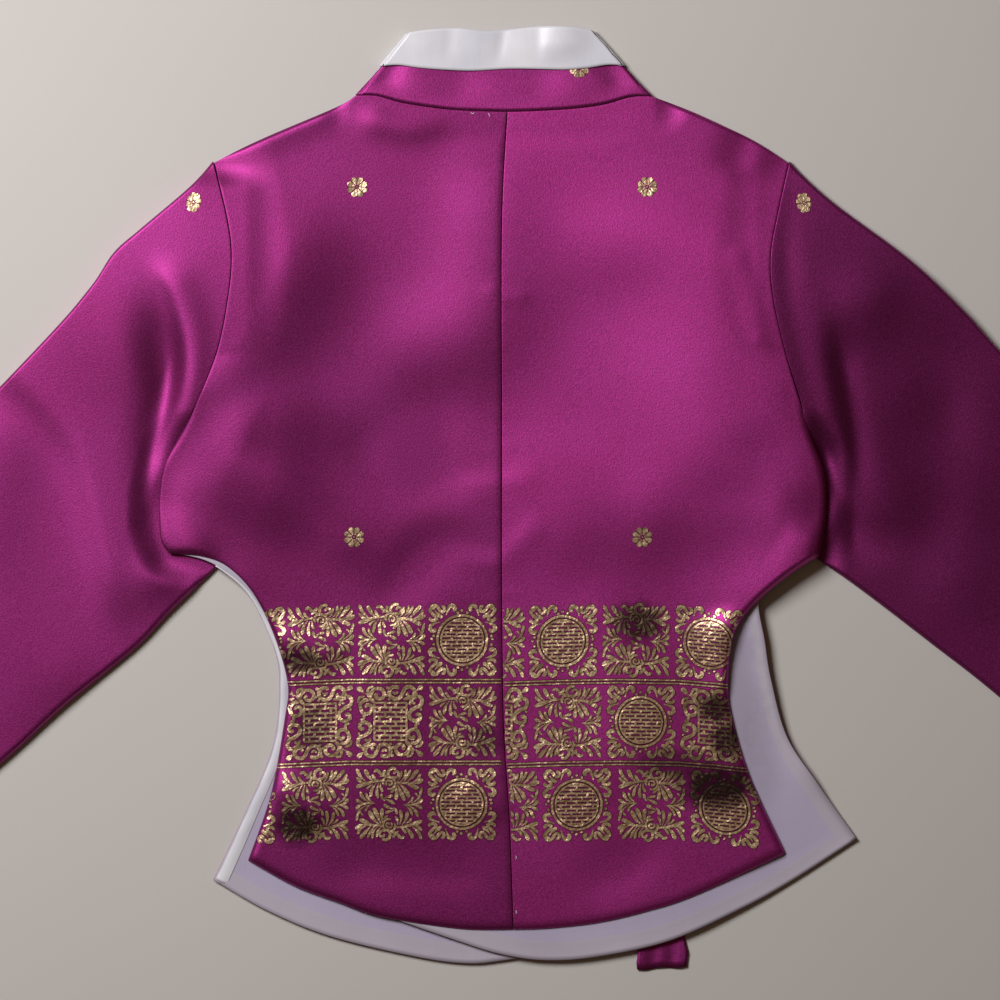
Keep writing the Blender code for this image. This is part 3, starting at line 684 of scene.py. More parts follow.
front = {
    "rows": 170, "columns": 58,
    "parts": 22, "neckParts": 8,  # of the inner edge: all, and along the collar
    # how far the lining stands back from the edge, higher up and lower down, and where that changes
    "liningInset": {"Left": (2.3, 0.3), "Right": (0.5, 0.2)}, "liningInsetUp": (-70, -110),
    "liningSink": 0.05, "liningRoll": 0.5, "rollReach": 4,
    "hemRows": 5, "hemColumns": 3, "hemStep": 0.25, "hemBelow": -45,
    # soft ridges under the back: crest, height, half width on its left and right, taper
    "folds": {
        "Left": (
            (((-128, 175), (-104, 90), (-92, 5)), 1.3, 22, 28, 20),
            (((-92, -70), (-70, -140), (-86, -205)), 1.1, 18, 24, 18),
            (((-150, 60), (-138, 10), (-142, -30)), 0.9, 14, 18, 14),
        ),
        "Right": (
            (((120, 185), (104, 110), (112, 30)), 1.2, 26, 20, 22),
            (((98, -60), (84, -130), (96, -200)), 1.0, 22, 18, 18),
            (((38, -40), (52, -110), (44, -180)), 0.8, 16, 20, 16),
            (((186, -76), (195, -126), (218, -188)), 8, 42, 15, 18),
        ),
    },
}


def collarFront(side, at):  # both edges of the band down the front, from the fold at the neck
    path = [(side["sign"] * x, y) for x, y in collarPath]
    coarse, little = shares(front["neckParts"]), 0.01
    p = curveThrough(path, coarse)
    before = curveThrough(path, np.maximum(coarse - little, 0))
    step = curveThrough(path, np.minimum(coarse + little, 1)) - before
    across = collarHalfWidth * side["sign"] * step / np.linalg.norm(step, axis=1)[:, None]
    away = np.stack([-across[:, 1], across[:, 0]], axis=1)
    near, far = p + away, p - away
    near[0], far[0] = collarTurn(side)[0]
    return curveThrough(near, at), curveThrough(far, at)


def collarTurn(side):
    near, far = np.array(side["neck"][-1], float), np.array(side["collarTop"][-1], float)
    stretch = np.linalg.norm(near - far) / (far[1] - near[1])
    inBy = np.array([side["sign"] * (level["neck"] - level["turnFloor"]) / 2 * stretch, 0])
    return (near - inBy, far - inBy), (near, far), stretch


def frontPlan(side):
    at = shares(front["rows"])
    outer = outerEdge(side, "frontSlit", at)
    near, far = collarFront(side, shares(front["neckParts"])[:-1])
    neckline = near + (near - far) * cloth["bandGap"] / np.linalg.norm(near - far, axis=1)[:, None]
    edge = curveThrough(side["frontEdge"], shares(front["parts"] - front["neckParts"]))
    coarse = np.vstack([neckline, edge])
    along = at * front["parts"]
    inner = np.stack([np.interp(along, np.arange(len(coarse)), coarse[:, k]) for k in (0, 1)], axis=1)
    rowShares = (arcShares(inner) + arcShares(outer)) / 2
    columnShares = shares(front["columns"])
    top = curveThrough([inner[0], *side["shoulder"][1:]], columnShares)
    bottom = curveThrough([inner[-1], *side["frontHem"][1:-1], outer[-1]], columnShares)
    return fillPatch(top, bottom, inner, outer, rowShares, columnShares)


def insetPlan(plan, amounts):  # border points moved in towards their neighbours
    moved = plan.copy()
    rows, columns = plan.shape[:2]
    for i in range(rows):
        for k in ((0, columns - 1) if 0 < i < rows - 1 else range(columns)):
            target = plan[min(max(i, 1), rows - 2), min(max(k, 1), columns - 2)]
            length = np.linalg.norm(target - plan[i, k])
            moved[i, k] += (target - plan[i, k]) * min(amounts[i, k] / max(length, 1e-6), 0.9)
    return moved


for side in (leftCut, rightCut):
    plan = frontPlan(side)
    z = frontHeight(side, plan[..., 0], plan[..., 1])
    word = side["word"].lower()
    panel = thicken(gridMesh("front" + side["word"], np.dstack([plan, z])), cloth["wall"], satinMade)
    settle(panel, "satin", ["front_" + word])
    high, low = front["liningInset"][side["word"]]
    amounts = low + (high - low) * (1 - fade(plan[..., 1], front["liningInsetUp"]))
    within = insetPlan(plan, amounts)
    edge = np.vstack([plan[:, -1], plan[-1, ::-1]])
    fromEdge = distanceTo(edge[::3], within[..., 0], within[..., 1])
    roll = np.exp(-(fromEdge / front["rollReach"]) ** 2)
    lined = np.dstack([within, z + level["lining"] - front["liningSink"] + front["liningRoll"] * roll])
    down, along = np.meshgrid(np.arange(lined.shape[0]), np.arange(lined.shape[1]), indexing="ij")
    hem = (down >= lined.shape[0] - front["hemRows"]) | (along >= lined.shape[1] - front["hemColumns"])
    lined[..., 2] += front["hemStep"] * (hem & (lined[..., 1] < front["hemBelow"]))
    panel = thicken(gridMesh("lining" + side["word"], lined), cloth["wall"], liningMade)
    panel.data.materials.append(hemMade)
    panel.data.materials.append(hemMade)
    hemFaces = (hem[:-1, :-1] & hem[1:, 1:]).astype(np.int32)
    panel.data.polygons.foreach_set("material_index", 2 * hemFaces.ravel())
    settle(panel, "lining", ["lining_" + word])


slitStrip = {
    "from": 0.12, "to": 0.995, "rows": 130, "columns": 9, "high": 0.7, "wall": 0.5, "over": 0.5,
    "edgeGap": 0.3, "width": 9.6,
    "widening": (0.08, 0.44, 0.48),  # shares of the width: at once, soon, towards the end
    "ripple": (0.22, 61, 23),  # share of the height, then two waves down the strip
}
at = slitStrip["from"] + (slitStrip["to"] - slitStrip["from"]) * shares(slitStrip["rows"])
line = curveThrough(leftCut["frontSlit"], at)
ahead = np.gradient(line, axis=0)
inward = np.stack([-ahead[:, 1], ahead[:, 0]], axis=1) / np.linalg.norm(ahead, axis=1)[:, None]
across = shares(slitStrip["columns"])
first, soon, last = slitStrip["widening"]
wide = slitStrip["width"] * (first + soon * smoothStep((at - slitStrip["from"]) / 0.3) + last * at ** 2)
inBy = slitStrip["edgeGap"] + across[None, :, None] * wide[:, None, None]
crest = np.sin(np.pi * np.clip(across / 0.9, 0, 1)) ** 0.8 * slitStrip["high"]
depth, quick, slow = slitStrip["ripple"]
ripple = 1 + depth * np.sin(at * quick) * np.sin(at * slow + 1)
below = frontHeight(leftCut, line[:, 0], line[:, 1])[:, None] + level["lining"]
stripRows = np.zeros((len(at), len(across), 3))
stripRows[..., :2] = line[:, None] + inward[:, None] * inBy
stripRows[..., 2] = below + slitStrip["over"] + crest[None] * ripple[:, None]
strip = thicken(gridMesh("slitStrip", stripRows), slitStrip["wall"], trimMade)
settle(strip, "trim")
print("fronts made")


sleeve = {
    "wall": 1.0, "stations": 150, "spacing": 1.35, "columns": 96, "lowerColumns": 24,
    "bodyParts": 19,  # how many parts of the body's edge it tucks under
    # its rim: steps down the armhole, where it leaves it, the share under the arm, its whole length
    "rimSteps": 8, "rimTo": 40, "underShare": 0.45, "rimRun": 270,
    "reach": {"sleeveTop": 1.2, "sleeveSeam": 2.2}, "armholeReach": 30, "tuckMargin": 3, "tuckReach": 20,
    # crest, height, half width on its left and on its right, taper
    "folds": {
        "Left": (
            (((-340, 95), (-285, 35), (-260, -70)), 3.5, 40, 15, 20),
            (((-232, 112), (-224, 65), (-224, 20), (-216, -15)), -8.5, 14, 17, 26),
            (((-345, 50), (-355, -65), (-295, -135)), 2.5, 30, 40, 20),
            (((-470, -90), (-440, -140), (-410, -200)), 2.5, 30, 30, 20),
            (((-225, -55), (-235, -50), (-240, -50)), 2, 15, 15, 10),
        ),
        "Right": (
            (((185, 205), (190, 120), (210, 25)), -2.5, 10, 10, 10),
            (((255, 150), (235, 70), (265, -15)), 2, 20, 25, 15),
            (((230, 110), (240, 40), (240, -35)), -4, 25, 10, 15),
            (((230, 95), (240, 40), (235, -25)), -1.5, 10, 10, 10),
            (((325, 85), (325, 10), (310, -70)), 2, 30, 25, 20),
            (((290, 60), (345, -25), (395, -100)), -3, 30, 60, 20),
            (((420, -20), (400, -80), (390, -150)), 2.5, 30, 30, 20),
        ),
    },
    # narrow rolls of cloth that lie along the armhole seam
    "rolls": {
        "Left": (
            (((-228, 150), (-221, 138), (-213, 100), (-218, 66), (-228, 38), (-235, 10)), 2.6, 15, 7, 13),
        ),
        "Right": (
            (((206, 50), (217, 20), (224, -4), (222, -24)), 3, 7, 9, 10),
        ),
    },
}


def sleeveHeight(side, x, y):
    sign = side["sign"]
    bodyEdge = outerEdge(side, "frontSlit", shares(edgeParts["all"])[:sleeve["bodyParts"]])
    body = np.vstack([[(0, bodyEdge[0, 1])], bodyEdge, [(0, bodyEdge[-1, 1])]])
    armhole = curveThrough(side["armhole"], shares(40))
    z = level["sleeve"] + (level["cuff"] - level["sleeve"]) * fade(sign * x, change["cuff"])
    bulge = foldHeight(billows, x, y)
    z = z + bulge + foldHeight(sleeve["folds"][side["word"]], x, y)
    outside = np.where(insideOf(body, x, y), 0, distanceTo(bodyEdge, x, y) - sleeve["tuckMargin"])
    tucked = level["sleeveEdge"] + (z - level["sleeveEdge"]) * swell(outside, sleeve["tuckReach"])
    seam = distanceTo(armhole, x, y)
    joined = level["armhole"] + bulge * fade(y, change["armholeTop"])
    z = joined + (z - joined) * swell(seam, sleeve["armholeReach"])
    z = z + (tucked - z) * fade(y, change["tuck"]) + foldHeight(sleeve["rolls"][side["word"]], x, y)
    for name, reach in sleeve["reach"].items():
        line = curveThrough(side[name], shares(60))
        z = level["sleeveEdge"] + (z - level["sleeveEdge"]) * rise(distanceTo(line, x, y), reach)
    return z - cloth["edgeRound"] * (1 - rise(seam, cloth["edgeReach"]))


def sleeveLines(side, columns):
    sign = side["sign"]
    coarse = curveThrough(side["armhole"], shares(sleeve["rimSteps"]))
    last = int(np.argmax(coarse[:, 1] < sleeve["rimTo"])) - 1
    under = [coarse[last], *side["underarm"]]
    split = 1 - sleeve["underShare"] * 0.5
    at = borderShares(columns, sleeve["rimRun"])
    upperRim = curveThrough(side["armhole"], last / sleeve["rimSteps"] * np.minimum(at / split, 1))
    upperRim = upperRim + (sign * cloth["armholeGap"], 0)
    lowerRim = curveThrough(under, np.clip((at - split) / (1 - split), 0, 1))
    rim = np.where((at <= split)[:, None], upperRim, lowerRim)
    rimShares = arcShares(rim)
    stations = shares(sleeve["stations"]) ** sleeve["spacing"]
    top = curveThrough([rim[0], *side["sleeveTop"][1:]], stations)
    seam = curveThrough([rim[-1], *side["sleeveSeam"][1:]], stations)
    cuff = top[-1] + (seam[-1] - top[-1]) * rimShares[:, None]
    return fillPatch(rim, cuff, top, seam, stations, rimShares)


def foldRound(before, at):  # the half round that joins the upper layer to the lower one
    step = at - before
    step = step / np.linalg.norm(step, axis=1)[:, None]
    points = []
    for angle in np.linspace(0, math.pi, 8)[1:-1]:
        out = at + step * level["foldOut"] * math.sin(angle)
        z = level["sleeveFloor"] + level["foldRadius"] * (1 + math.cos(angle))
        points.append(np.column_stack([out, np.full(len(at), z)]))
    return points


def sleeveTube(side):
    upper, lower = sleeveLines(side, sleeve["columns"]), sleeveLines(side, sleeve["lowerColumns"])
    z = sleeveHeight(side, upper[..., 0], upper[..., 1])
    z[:, 0] = z[:, -1] = level["sleeveEdge"]
    over = np.dstack([upper, z])
    beneath = np.dstack([lower, np.full(lower.shape[:2], level["sleeveFloor"])])
    seamFold = np.stack(foldRound(upper[:, -2], upper[:, -1]), axis=1)
    topFold = np.stack(foldRound(upper[:, 1], upper[:, 0]), axis=1)
    rings = np.concatenate([over, seamFold, beneath[:, ::-1], topFold[:, ::-1]], axis=1)
    return gridMesh("sleeve" + side["word"], rings, closed=True, probe=(60, sleeve["columns"] // 2))


for side in (leftCut, rightCut):
    tube = thicken(sleeveTube(side), sleeve["wall"], satinPanels["sleeve" + side["word"]], liningMade)
    word = side["word"].lower()
    settle(tube, "satin", ["sleeve_" + word + "_back", "sleeve_" + word + "_front"])
print("sleeves made")


collar = {
    "frontSteps": 60, "turnSteps": 14, "neckSteps": 60, "bandColumns": 22, "trimColumns": 16,
    "frontLift": 0.1, "sink": 1.3, "sinkShare": 0.4, "trimShares": (0.47, 1), "bandEnd": 0.98,
    "trimOffset": 1.4, "trimBulge": 0.1,
    "trimRise": (0.05, 60),  # the trim is narrower round the middle: by what share, and out to where
    # creases: where across, slant, height, half width, then the shares across where they fade in
    "trimCreases": ((-56, -8, 0.6, 9), (-36, 5, -0.5, 5), (-16, -8, 1.2, 12), (-1, 8, -0.6, 4),
                    (13, -6, 0.7, 8), (25, 3, -0.4, 4), (39, 8, 2.6, 15), (63, 4, -0.4, 8)),
    "trimFade": (0.5, 0.8),
    "bandCreases": ((-78, 20, -1, 9), (-58, -10, 0.4, 14), (-30, 14, -0.3, 12), (-5, -8, 0.3, 16),
                    (26, 10, -0.3, 12), (50, -8, 0.3, 14), (78, -22, -1, 9)),
    "bandFade": (0.02, 0.25),
}


def collarStations():  # along the band: its seam edge, its outer edge and which way it faces
    halves = []
    for side in (leftCut, rightCut):
        sign = side["sign"]
        near, far = collarFront(side, shares(collar["frontSteps"])[1:])
        z = frontHeight(side, near[:, 0], near[:, 1]) + collar["frontLift"]
        down = np.tile((0.0, 0.0, -1.0), (len(near), 1))
        parts = [(np.column_stack([near, z])[::-1], np.column_stack([far, z])[::-1], down)]
        _, (near, far), stretch = collarTurn(side)
        radius = (level["neck"] - level["turnFloor"]) / 2
        angle = math.pi * (1 - shares(collar["turnSteps"]))
        shift = np.column_stack([-sign * radius * stretch * (1 - np.sin(angle)), 0 * angle,
                                 level["turnFloor"] + radius * (1 + np.cos(angle))])
        out = np.column_stack([sign * stretch * np.sin(angle), 0 * angle, np.cos(angle)])
        parts.append((np.append(near, 0) + shift, np.append(far, 0) + shift, out))
        at = shares(collar["neckSteps"])[1:-1][::-1]
        near, far = curveThrough(side["neck"], at), curveThrough(side["collarTop"], at)
        sag = fade(np.abs(near[:, 0]), change["collarSag"])
        height = level["neck"] + (level["collarEdge"] - level["neck"]) * sag
        up = np.tile((0.0, 0.0, 1.0), (len(near), 1))
        parts.append((np.column_stack([near, np.full(len(near), level["neck"])]),
                      np.column_stack([far, height]), up))
        halves.append([np.concatenate([part[k] for part in parts]) for k in range(3)])
    middle = [np.array([[*leftCut["neck"][0], level["neck"]]]),
              np.array([[*leftCut["collarTop"][0], level["collarEdge"]]]), np.array([[0.0, 0.0, 1.0]])]
    return [np.concatenate([halves[0][k], middle[k], halves[1][k][::-1]]) for k in range(3)]


def collarCreases(creases, x, share, low, high):  # they fade in from the share low and are whole at high
    z = 0
    for at, slant, rises, wide in creases:
        z = z + rises * np.exp(-((x - at - slant * (share - high)) / wide) ** 2)
    return z * smoothStep((share - low) / (high - low))


def collarRows(across, offset, bulge, creases, fadeIn, rise=0):
    near, far, out = collarStations()
    onTop = out[:, 2] > 0.9  # where the band faces up
    rise = rise * (1 - smoothStep(np.abs(near[:, 0]) / collar["trimRise"][1])) * onTop
    out = out[:, None]
    left = 1 - (across - across[0]) / (across[-1] - across[0])
    share = (across[None, :] + rise[:, None] * left)[..., None]
    away = offset - collar["sink"] * np.minimum(share / collar["sinkShare"], 1)
    away = away + bulge * np.sin(np.pi * shares(len(across) - 1))[None, :, None] ** 0.7
    rows = near[:, None] + (far - near)[:, None] * share
    away = away + collarCreases(creases, rows[..., :1], share, *fadeIn) * onTop[:, None, None]
    return rows + away * out


bandAcross = np.linspace(0, collar["bandEnd"], collar["bandColumns"])
trimAcross = np.linspace(*collar["trimShares"], collar["trimColumns"])
onNeck = (collar["frontSteps"] + 2 * collar["turnSteps"] + collar["neckSteps"] // 2, 5)  # faces up there
bandRows = collarRows(bandAcross, 0, 0, collar["bandCreases"], collar["bandFade"])
band = gridMesh("collarBand", bandRows, probe=onNeck)
settle(thicken(band, cloth["bandWall"], satinMade), "satin", ["collar_band"])
trimRows = collarRows(trimAcross, collar["trimOffset"], collar["trimBulge"], collar["trimCreases"],
                      collar["trimFade"], collar["trimRise"][0])
trim = gridMesh("collarTrim", trimRows, probe=onNeck)
settle(thicken(trim, cloth["trimWall"], trimMade), "trim", ["collar_trim"])
print("collar made")


tie = {
    "width": 34, "steps": 90, "columns": 18, "wall": 0.9,
    "Long": ((76, 100), (84, -20), (98, -180), (109.5, -320.5)),
    "Short": ((135, 100), (133, 20), (131, -60)),
    # the end that shows lies a little crooked and curls at the corners
    "curlFrom": -296, "curlOver": 14, "slant": 0.06, "corner": 0.7,
    "scallop": (0.5, 0.3), "sway": (0.9, 0.32), "ripple": (0.3, 0.5),  # how far and how quickly it waves
}
for word in ("Long", "Short"):
    spine = curveThrough(tie[word], shares(tie["steps"]))
    across = np.linspace(-0.5, 0.5, tie["columns"]) * tie["width"]
    rows = np.zeros((len(spine), tie["columns"], 3))
    rows[..., 0] = spine[:, None, 0] + across[None]
    rows[..., 1] = spine[:, None, 1]
    rows[..., 2] = level["tie"]
    if word == "Long":
        end = smoothStep((tie["curlFrom"] - rows[..., 1]) / tie["curlOver"])
        outward = across[None] / (tie["width"] / 2)
        far, often = tie["scallop"]
        rows[..., 1] += end * (across[None] * tie["slant"] + far * np.cos(across[None] * often))
        far, often = tie["sway"]
        rows[..., 0] += end * far * np.sin(rows[..., 1] * often)
        far, often = tie["ripple"]
        rows[..., 2] += end * (tie["corner"] * outward ** 4 + far * (1 + np.cos(across[None] * often)))
    strip = thicken(gridMesh("tie" + word, rows), tie["wall"], satinMade)
    settle(strip, "satin", ["tie_" + word.lower()])
print("ties made")


foil = {
    "wall": 0.08, "lift": 0.17, "spacing": 1.15, "rayFrom": 0.1,
    "rimLift": 0.06, "rimWider": 1.0,  # the dark rim of painted shade shows as a wider stroke under the gold
    "liftStep": 0.012, "liftSteps": 6,  # strokes that cross lie at heights of their own
}

# strokes of an ornament: kind, width in mm, then points across and down its tile, from 0 to 1
spray = (  # half of the floral tile; a half turn gives the rest
    ("line", 1.5, (0.05, 0.235), (0.25, 0.19), (0.44, 0.175)),
    ("leaf", 2.3, (0.17, 0.20), (0.08, 0.12), (0.02, 0.01)),
    ("leaf", 2.9, (0.27, 0.19), (0.20, 0.12), (0.145, 0.02)),
    ("leaf", 2.0, (0.35, 0.18), (0.29, 0.15), (0.25, 0.09)),
    ("leaf", 2.2, (0.20, 0.215), (0.10, 0.20), (0.015, 0.13)),
    ("leaf", 2.9, (0.28, 0.195), (0.14, 0.225), (0.01, 0.265)),
    ("line", 2.1, (0.27, 0.055), (0.32, 0.03), (0.365, 0.065), (0.40, 0.085), (0.45, 0.03)),
    ("line", 1.6, (0.36, 0.12), (0.41, 0.10), (0.47, 0.12)),
    ("line", 2.0, (0.52, 0.15), (0.485, 0.09), (0.50, 0.03), (0.55, 0.0), (0.605, 0.015)),
    ("line", 1.7, (0.53, 0.125), (0.585, 0.135), (0.64, 0.105), (0.635, 0.055), (0.585, 0.05),
     (0.57, 0.085)),
    ("line", 1.5, (0.43, 0.24), (0.405, 0.19), (0.44, 0.135), (0.52, 0.13), (0.58, 0.17), (0.585, 0.235),
     (0.54, 0.285), (0.47, 0.29)),
    ("line", 1.4, (0.47, 0.245), (0.455, 0.20), (0.49, 0.17), (0.535, 0.185), (0.54, 0.225),
     (0.505, 0.235), (0.50, 0.21)),
    ("line", 1.6, (0.60, 0.20), (0.72, 0.205), (0.88, 0.225)),
    ("leaf", 1.6, (0.61, 0.19), (0.67, 0.12), (0.685, 0.04)),
    ("leaf", 1.7, (0.66, 0.195), (0.73, 0.12), (0.75, 0.015)),
    ("leaf", 1.9, (0.71, 0.20), (0.77, 0.12), (0.82, 0.025)),
    ("leaf", 2.6, (0.76, 0.205), (0.85, 0.11), (0.93, 0.02)),
    ("leaf", 2.1, (0.82, 0.21), (0.92, 0.16), (0.965, 0.08)),
    ("leaf", 2.7, (0.86, 0.22), (0.93, 0.20), (1.0, 0.155)),
    ("leaf", 2.8, (0.74, 0.21), (0.84, 0.25), (0.94, 0.285)),
    ("leaf", 3.0, (0.64, 0.21), (0.73, 0.29), (0.80, 0.41)),
    ("leaf", 2.9, (0.62, 0.22), (0.67, 0.33), (0.73, 0.45)),
    ("leaf", 2.6, (0.60, 0.24), (0.61, 0.34), (0.60, 0.44)),
    ("leaf", 1.7, (0.595, 0.28), (0.56, 0.315), (0.52, 0.34)),
    ("leaf", 2.3, (0.31, 0.21), (0.25, 0.29), (0.225, 0.40)),
    ("leaf", 2.3, (0.345, 0.21), (0.32, 0.31), (0.335, 0.42)),
    ("leaf", 1.9, (0.375, 0.21), (0.375, 0.27), (0.41, 0.33)),
    ("leaf", 1.6, (0.26, 0.23), (0.20, 0.26), (0.17, 0.30)),
    ("leaf", 2.0, (0.44, 0.455), (0.40, 0.42), (0.385, 0.355)),
    ("leaf", 2.0, (0.43, 0.415), (0.48, 0.40), (0.555, 0.38)),
    ("leaf", 2.2, (0.43, 0.43), (0.50, 0.45), (0.58, 0.495)),
    ("line", 1.3, (0.29, 0.49), (0.20, 0.485), (0.10, 0.50)),
    ("leaf", 2.2, (0.22, 0.48), (0.12, 0.42), (0.075, 0.325)),
    ("leaf", 1.8, (0.26, 0.48), (0.19, 0.42), (0.155, 0.34)),
    ("leaf", 2.3, (0.14, 0.49), (0.07, 0.47), (0.01, 0.435)),
    ("leaf", 2.4, (0.13, 0.50), (0.06, 0.52), (0.01, 0.575)),
    ("leaf", 1.9, (0.17, 0.51), (0.06, 0.59), (0.015, 0.735)),
    ("leaf", 1.7, (0.24, 0.50), (0.18, 0.54), (0.145, 0.60)),
    ("leaf", 1.4, (0.075, 0.60), (0.09, 0.635), (0.12, 0.655)),
)
scroll = (  # upper left part of the round tile; flips give the rest
    ("dot", 3.6, (0.06, 0.045)),
    ("line", 2.2, (0.03, 0.06), (0.06, 0.02), (0.12, 0.03), (0.16, 0.08), (0.20, 0.11), (0.235, 0.085),
     (0.225, 0.04), (0.19, 0.035)),
    ("line", 2.2, (0.03, 0.04), (0.02, 0.085), (0.06, 0.14), (0.11, 0.18), (0.115, 0.215), (0.06, 0.23),
     (0.02, 0.21), (0.025, 0.185)),
    ("leaf", 2.5, (0.09, 0.09), (0.14, 0.145), (0.20, 0.19)),
    ("leaf", 2.9, (0.26, 0.16), (0.29, 0.065), (0.32, 0.025), (0.37, 0.03), (0.39, 0.07), (0.36, 0.10)),
    ("leaf", 2.9, (0.165, 0.25), (0.085, 0.27), (0.03, 0.30), (0.02, 0.35), (0.07, 0.375), (0.11, 0.345)),
    ("dot", 1.8, (0.43, 0.12)),
    ("dot", 1.8, (0.075, 0.44)),
)
curls = (  # upper half of the square tile; a half turn gives the rest
    ("petal", 3.8, (0.12, 0.11), (0.02, 0.02)),
    ("line", 1.9, (0.19, 0.16), (0.17, 0.09), (0.19, 0.03), (0.26, 0.02)),
    ("line", 2.5, (0.20, 0.17), (0.23, 0.09), (0.28, 0.045), (0.36, 0.045), (0.41, 0.09), (0.41, 0.15),
     (0.36, 0.185), (0.305, 0.17), (0.29, 0.135), (0.325, 0.12)),
    ("leaf", 2.6, (0.13, 0.10), (0.19, 0.15), (0.27, 0.235)),
    ("line", 1.8, (0.13, 0.15), (0.05, 0.17), (0.025, 0.24)),
    ("line", 2.5, (0.20, 0.205), (0.115, 0.205), (0.06, 0.265), (0.075, 0.335), (0.11, 0.385),
     (0.19, 0.385), (0.23, 0.335), (0.215, 0.28), (0.16, 0.27), (0.145, 0.31)),
    ("line", 2.0, (0.11, 0.385), (0.12, 0.435), (0.10, 0.47), (0.06, 0.47)),
    ("petal", 3.6, (0.89, 0.07), (0.985, 0.01)),
    ("dot", 3.8, (0.87, 0.12)),
    ("line", 2.6, (0.87, 0.11), (0.85, 0.045), (0.785, 0.015), (0.725, 0.035), (0.69, 0.10),
     (0.65, 0.165), (0.58, 0.185), (0.51, 0.15), (0.49, 0.085), (0.525, 0.03), (0.595, 0.02),
     (0.635, 0.045)),
    ("line", 1.7, (0.54, 0.08), (0.575, 0.115), (0.62, 0.085)),
    ("line", 2.1, (0.86, 0.135), (0.80, 0.16), (0.755, 0.135), (0.77, 0.10)),
    ("line", 2.6, (0.90, 0.135), (0.96, 0.17), (0.975, 0.22), (0.945, 0.28), (0.88, 0.305), (0.81, 0.35),
     (0.785, 0.405), (0.81, 0.465), (0.88, 0.49), (0.94, 0.465), (0.945, 0.42), (0.915, 0.395),
     (0.885, 0.42)),
    ("line", 1.9, (0.90, 0.17), (0.84, 0.185), (0.83, 0.23), (0.875, 0.25)),
    ("leaf", 2.1, (0.88, 0.13), (0.80, 0.175), (0.70, 0.185)),
    ("leaf", 2.1, (0.87, 0.14), (0.82, 0.20), (0.79, 0.275)),
    ("dot", 2.0, (0.49, 0.19)),
    ("dot", 2.0, (0.45, 0.14)),
    ("dot", 2.3, (0.465, 0.03)),
    ("dot", 1.7, (0.96, 0.335)),
)


def changed(strokes, rule):  # the same strokes with every point moved by the rule
    return [(kind, width, *(rule(x, y) for x, y in points)) for kind, width, *points in strokes]


def halfTurn(strokes):
    return [*strokes, *changed(strokes, lambda x, y: (1 - x, 1 - y))]


lattice = {
    "margin": 0.03, "tall": 0.45,
    "evenRow": (-0.24, -0.08, 0.08, 0.24), "oddRow": (-0.16, 0, 0.16),
}


def brick(middle, reachAt, rows, pitch, bar, tick):  # a plain brick lattice; reachAt gives its half width
    strokes = []
    for k in range(-rows, rows + 1):
        y, reach = middle[1] + k * pitch, reachAt(k * pitch)
        strokes.append(("bar", bar, (middle[0] - reach, y), (middle[0] + reach, y)))
    for k in range(-rows, rows):
        y, reach = middle[1] + (k + 0.5) * pitch, reachAt((k + 0.5) * pitch) - lattice["margin"]
        half = pitch * lattice["tall"]
        for x in lattice["oddRow" if k % 2 else "evenRow"]:
            if abs(x) < reach:
                across = middle[0] + x
                strokes.append(("bar", tick, (across, y - half), (across, y + half)))
    return strokes


roundLook = {
    "middle": (0.495, 0.5), "rings": ((0.366, 1.6), (0.313, 1.1)), "ringSteps": 32, "high": 0.94,
    "inside": 0.308, "narrowing": 1.065, "rows": 5, "pitch": 0.0525, "bar": 1.25, "tick": 1.3,
    "dot": 1.8, "dots": ((0.49, 0.09), (0.49, 0.91), (0.045, 0.485), (0.94, 0.485)),
}


def roundTile(look):
    middle, strokes = look["middle"], []
    for radius, width in look["rings"]:
        turn = np.linspace(0, 2 * math.pi, look["ringSteps"] + 1)
        ring = [(middle[0] + radius * math.cos(a), middle[1] + radius * look["high"] * math.sin(a))
                for a in turn]
        strokes.append(("band", width, *ring))
    strokes += brick(middle, lambda y: math.sqrt(look["inside"] ** 2 - (y * look["narrowing"]) ** 2),
                     look["rows"], look["pitch"], look["bar"], look["tick"])
    half = [*scroll, *changed(scroll, lambda x, y: (1 - x, y))]
    strokes += [*half, *changed(half, lambda x, y: (x, 1 - y))]
    return strokes + [("dot", look["dot"], place) for place in look["dots"]]


squareLook = {"across": (0.27, 0.745), "down": (0.24, 0.755), "rows": 4, "bar": 1.4, "tick": 1.6}


def squareTile(look):
    (left, right), (high, low) = look["across"], look["down"]
    middle = ((left + right) / 2, (high + low) / 2)
    sides = [("bar", look["bar"], (x, high), (x, low)) for x in (left, right)]
    bricks = brick(middle, lambda y: (right - left) / 2, look["rows"], (low - high) / (2 * look["rows"]),
                   look["bar"], look["tick"])
    return [*bricks, *sides, *halfTurn(curls)]


blossomLook = {"petals": 8, "petal": 3.7, "reach": (0.11, 0.5), "heart": 1.3}


def blossom(look):
    strokes, middle = [], (0.5, 0.5)
    for k in range(look["petals"]):
        a = 2 * math.pi * (k + 0.5) / look["petals"]
        ends = [(middle[0] + r * math.cos(a), middle[1] + r * math.sin(a)) for r in look["reach"]]
        strokes.append(("petal", look["petal"], *ends))
    return [*strokes, ("dot", look["heart"], middle)]


ornaments = {"spray": halfTurn(spray), "round": roundTile(roundLook), "square": squareTile(squareLook),
             "blossom": blossom(blossomLook)}
tapers = {"leaf": (0.24, 0.7, 0.8), "petal": (0.22, 0.75, 0.7)}  # first width, whole from, rounded from


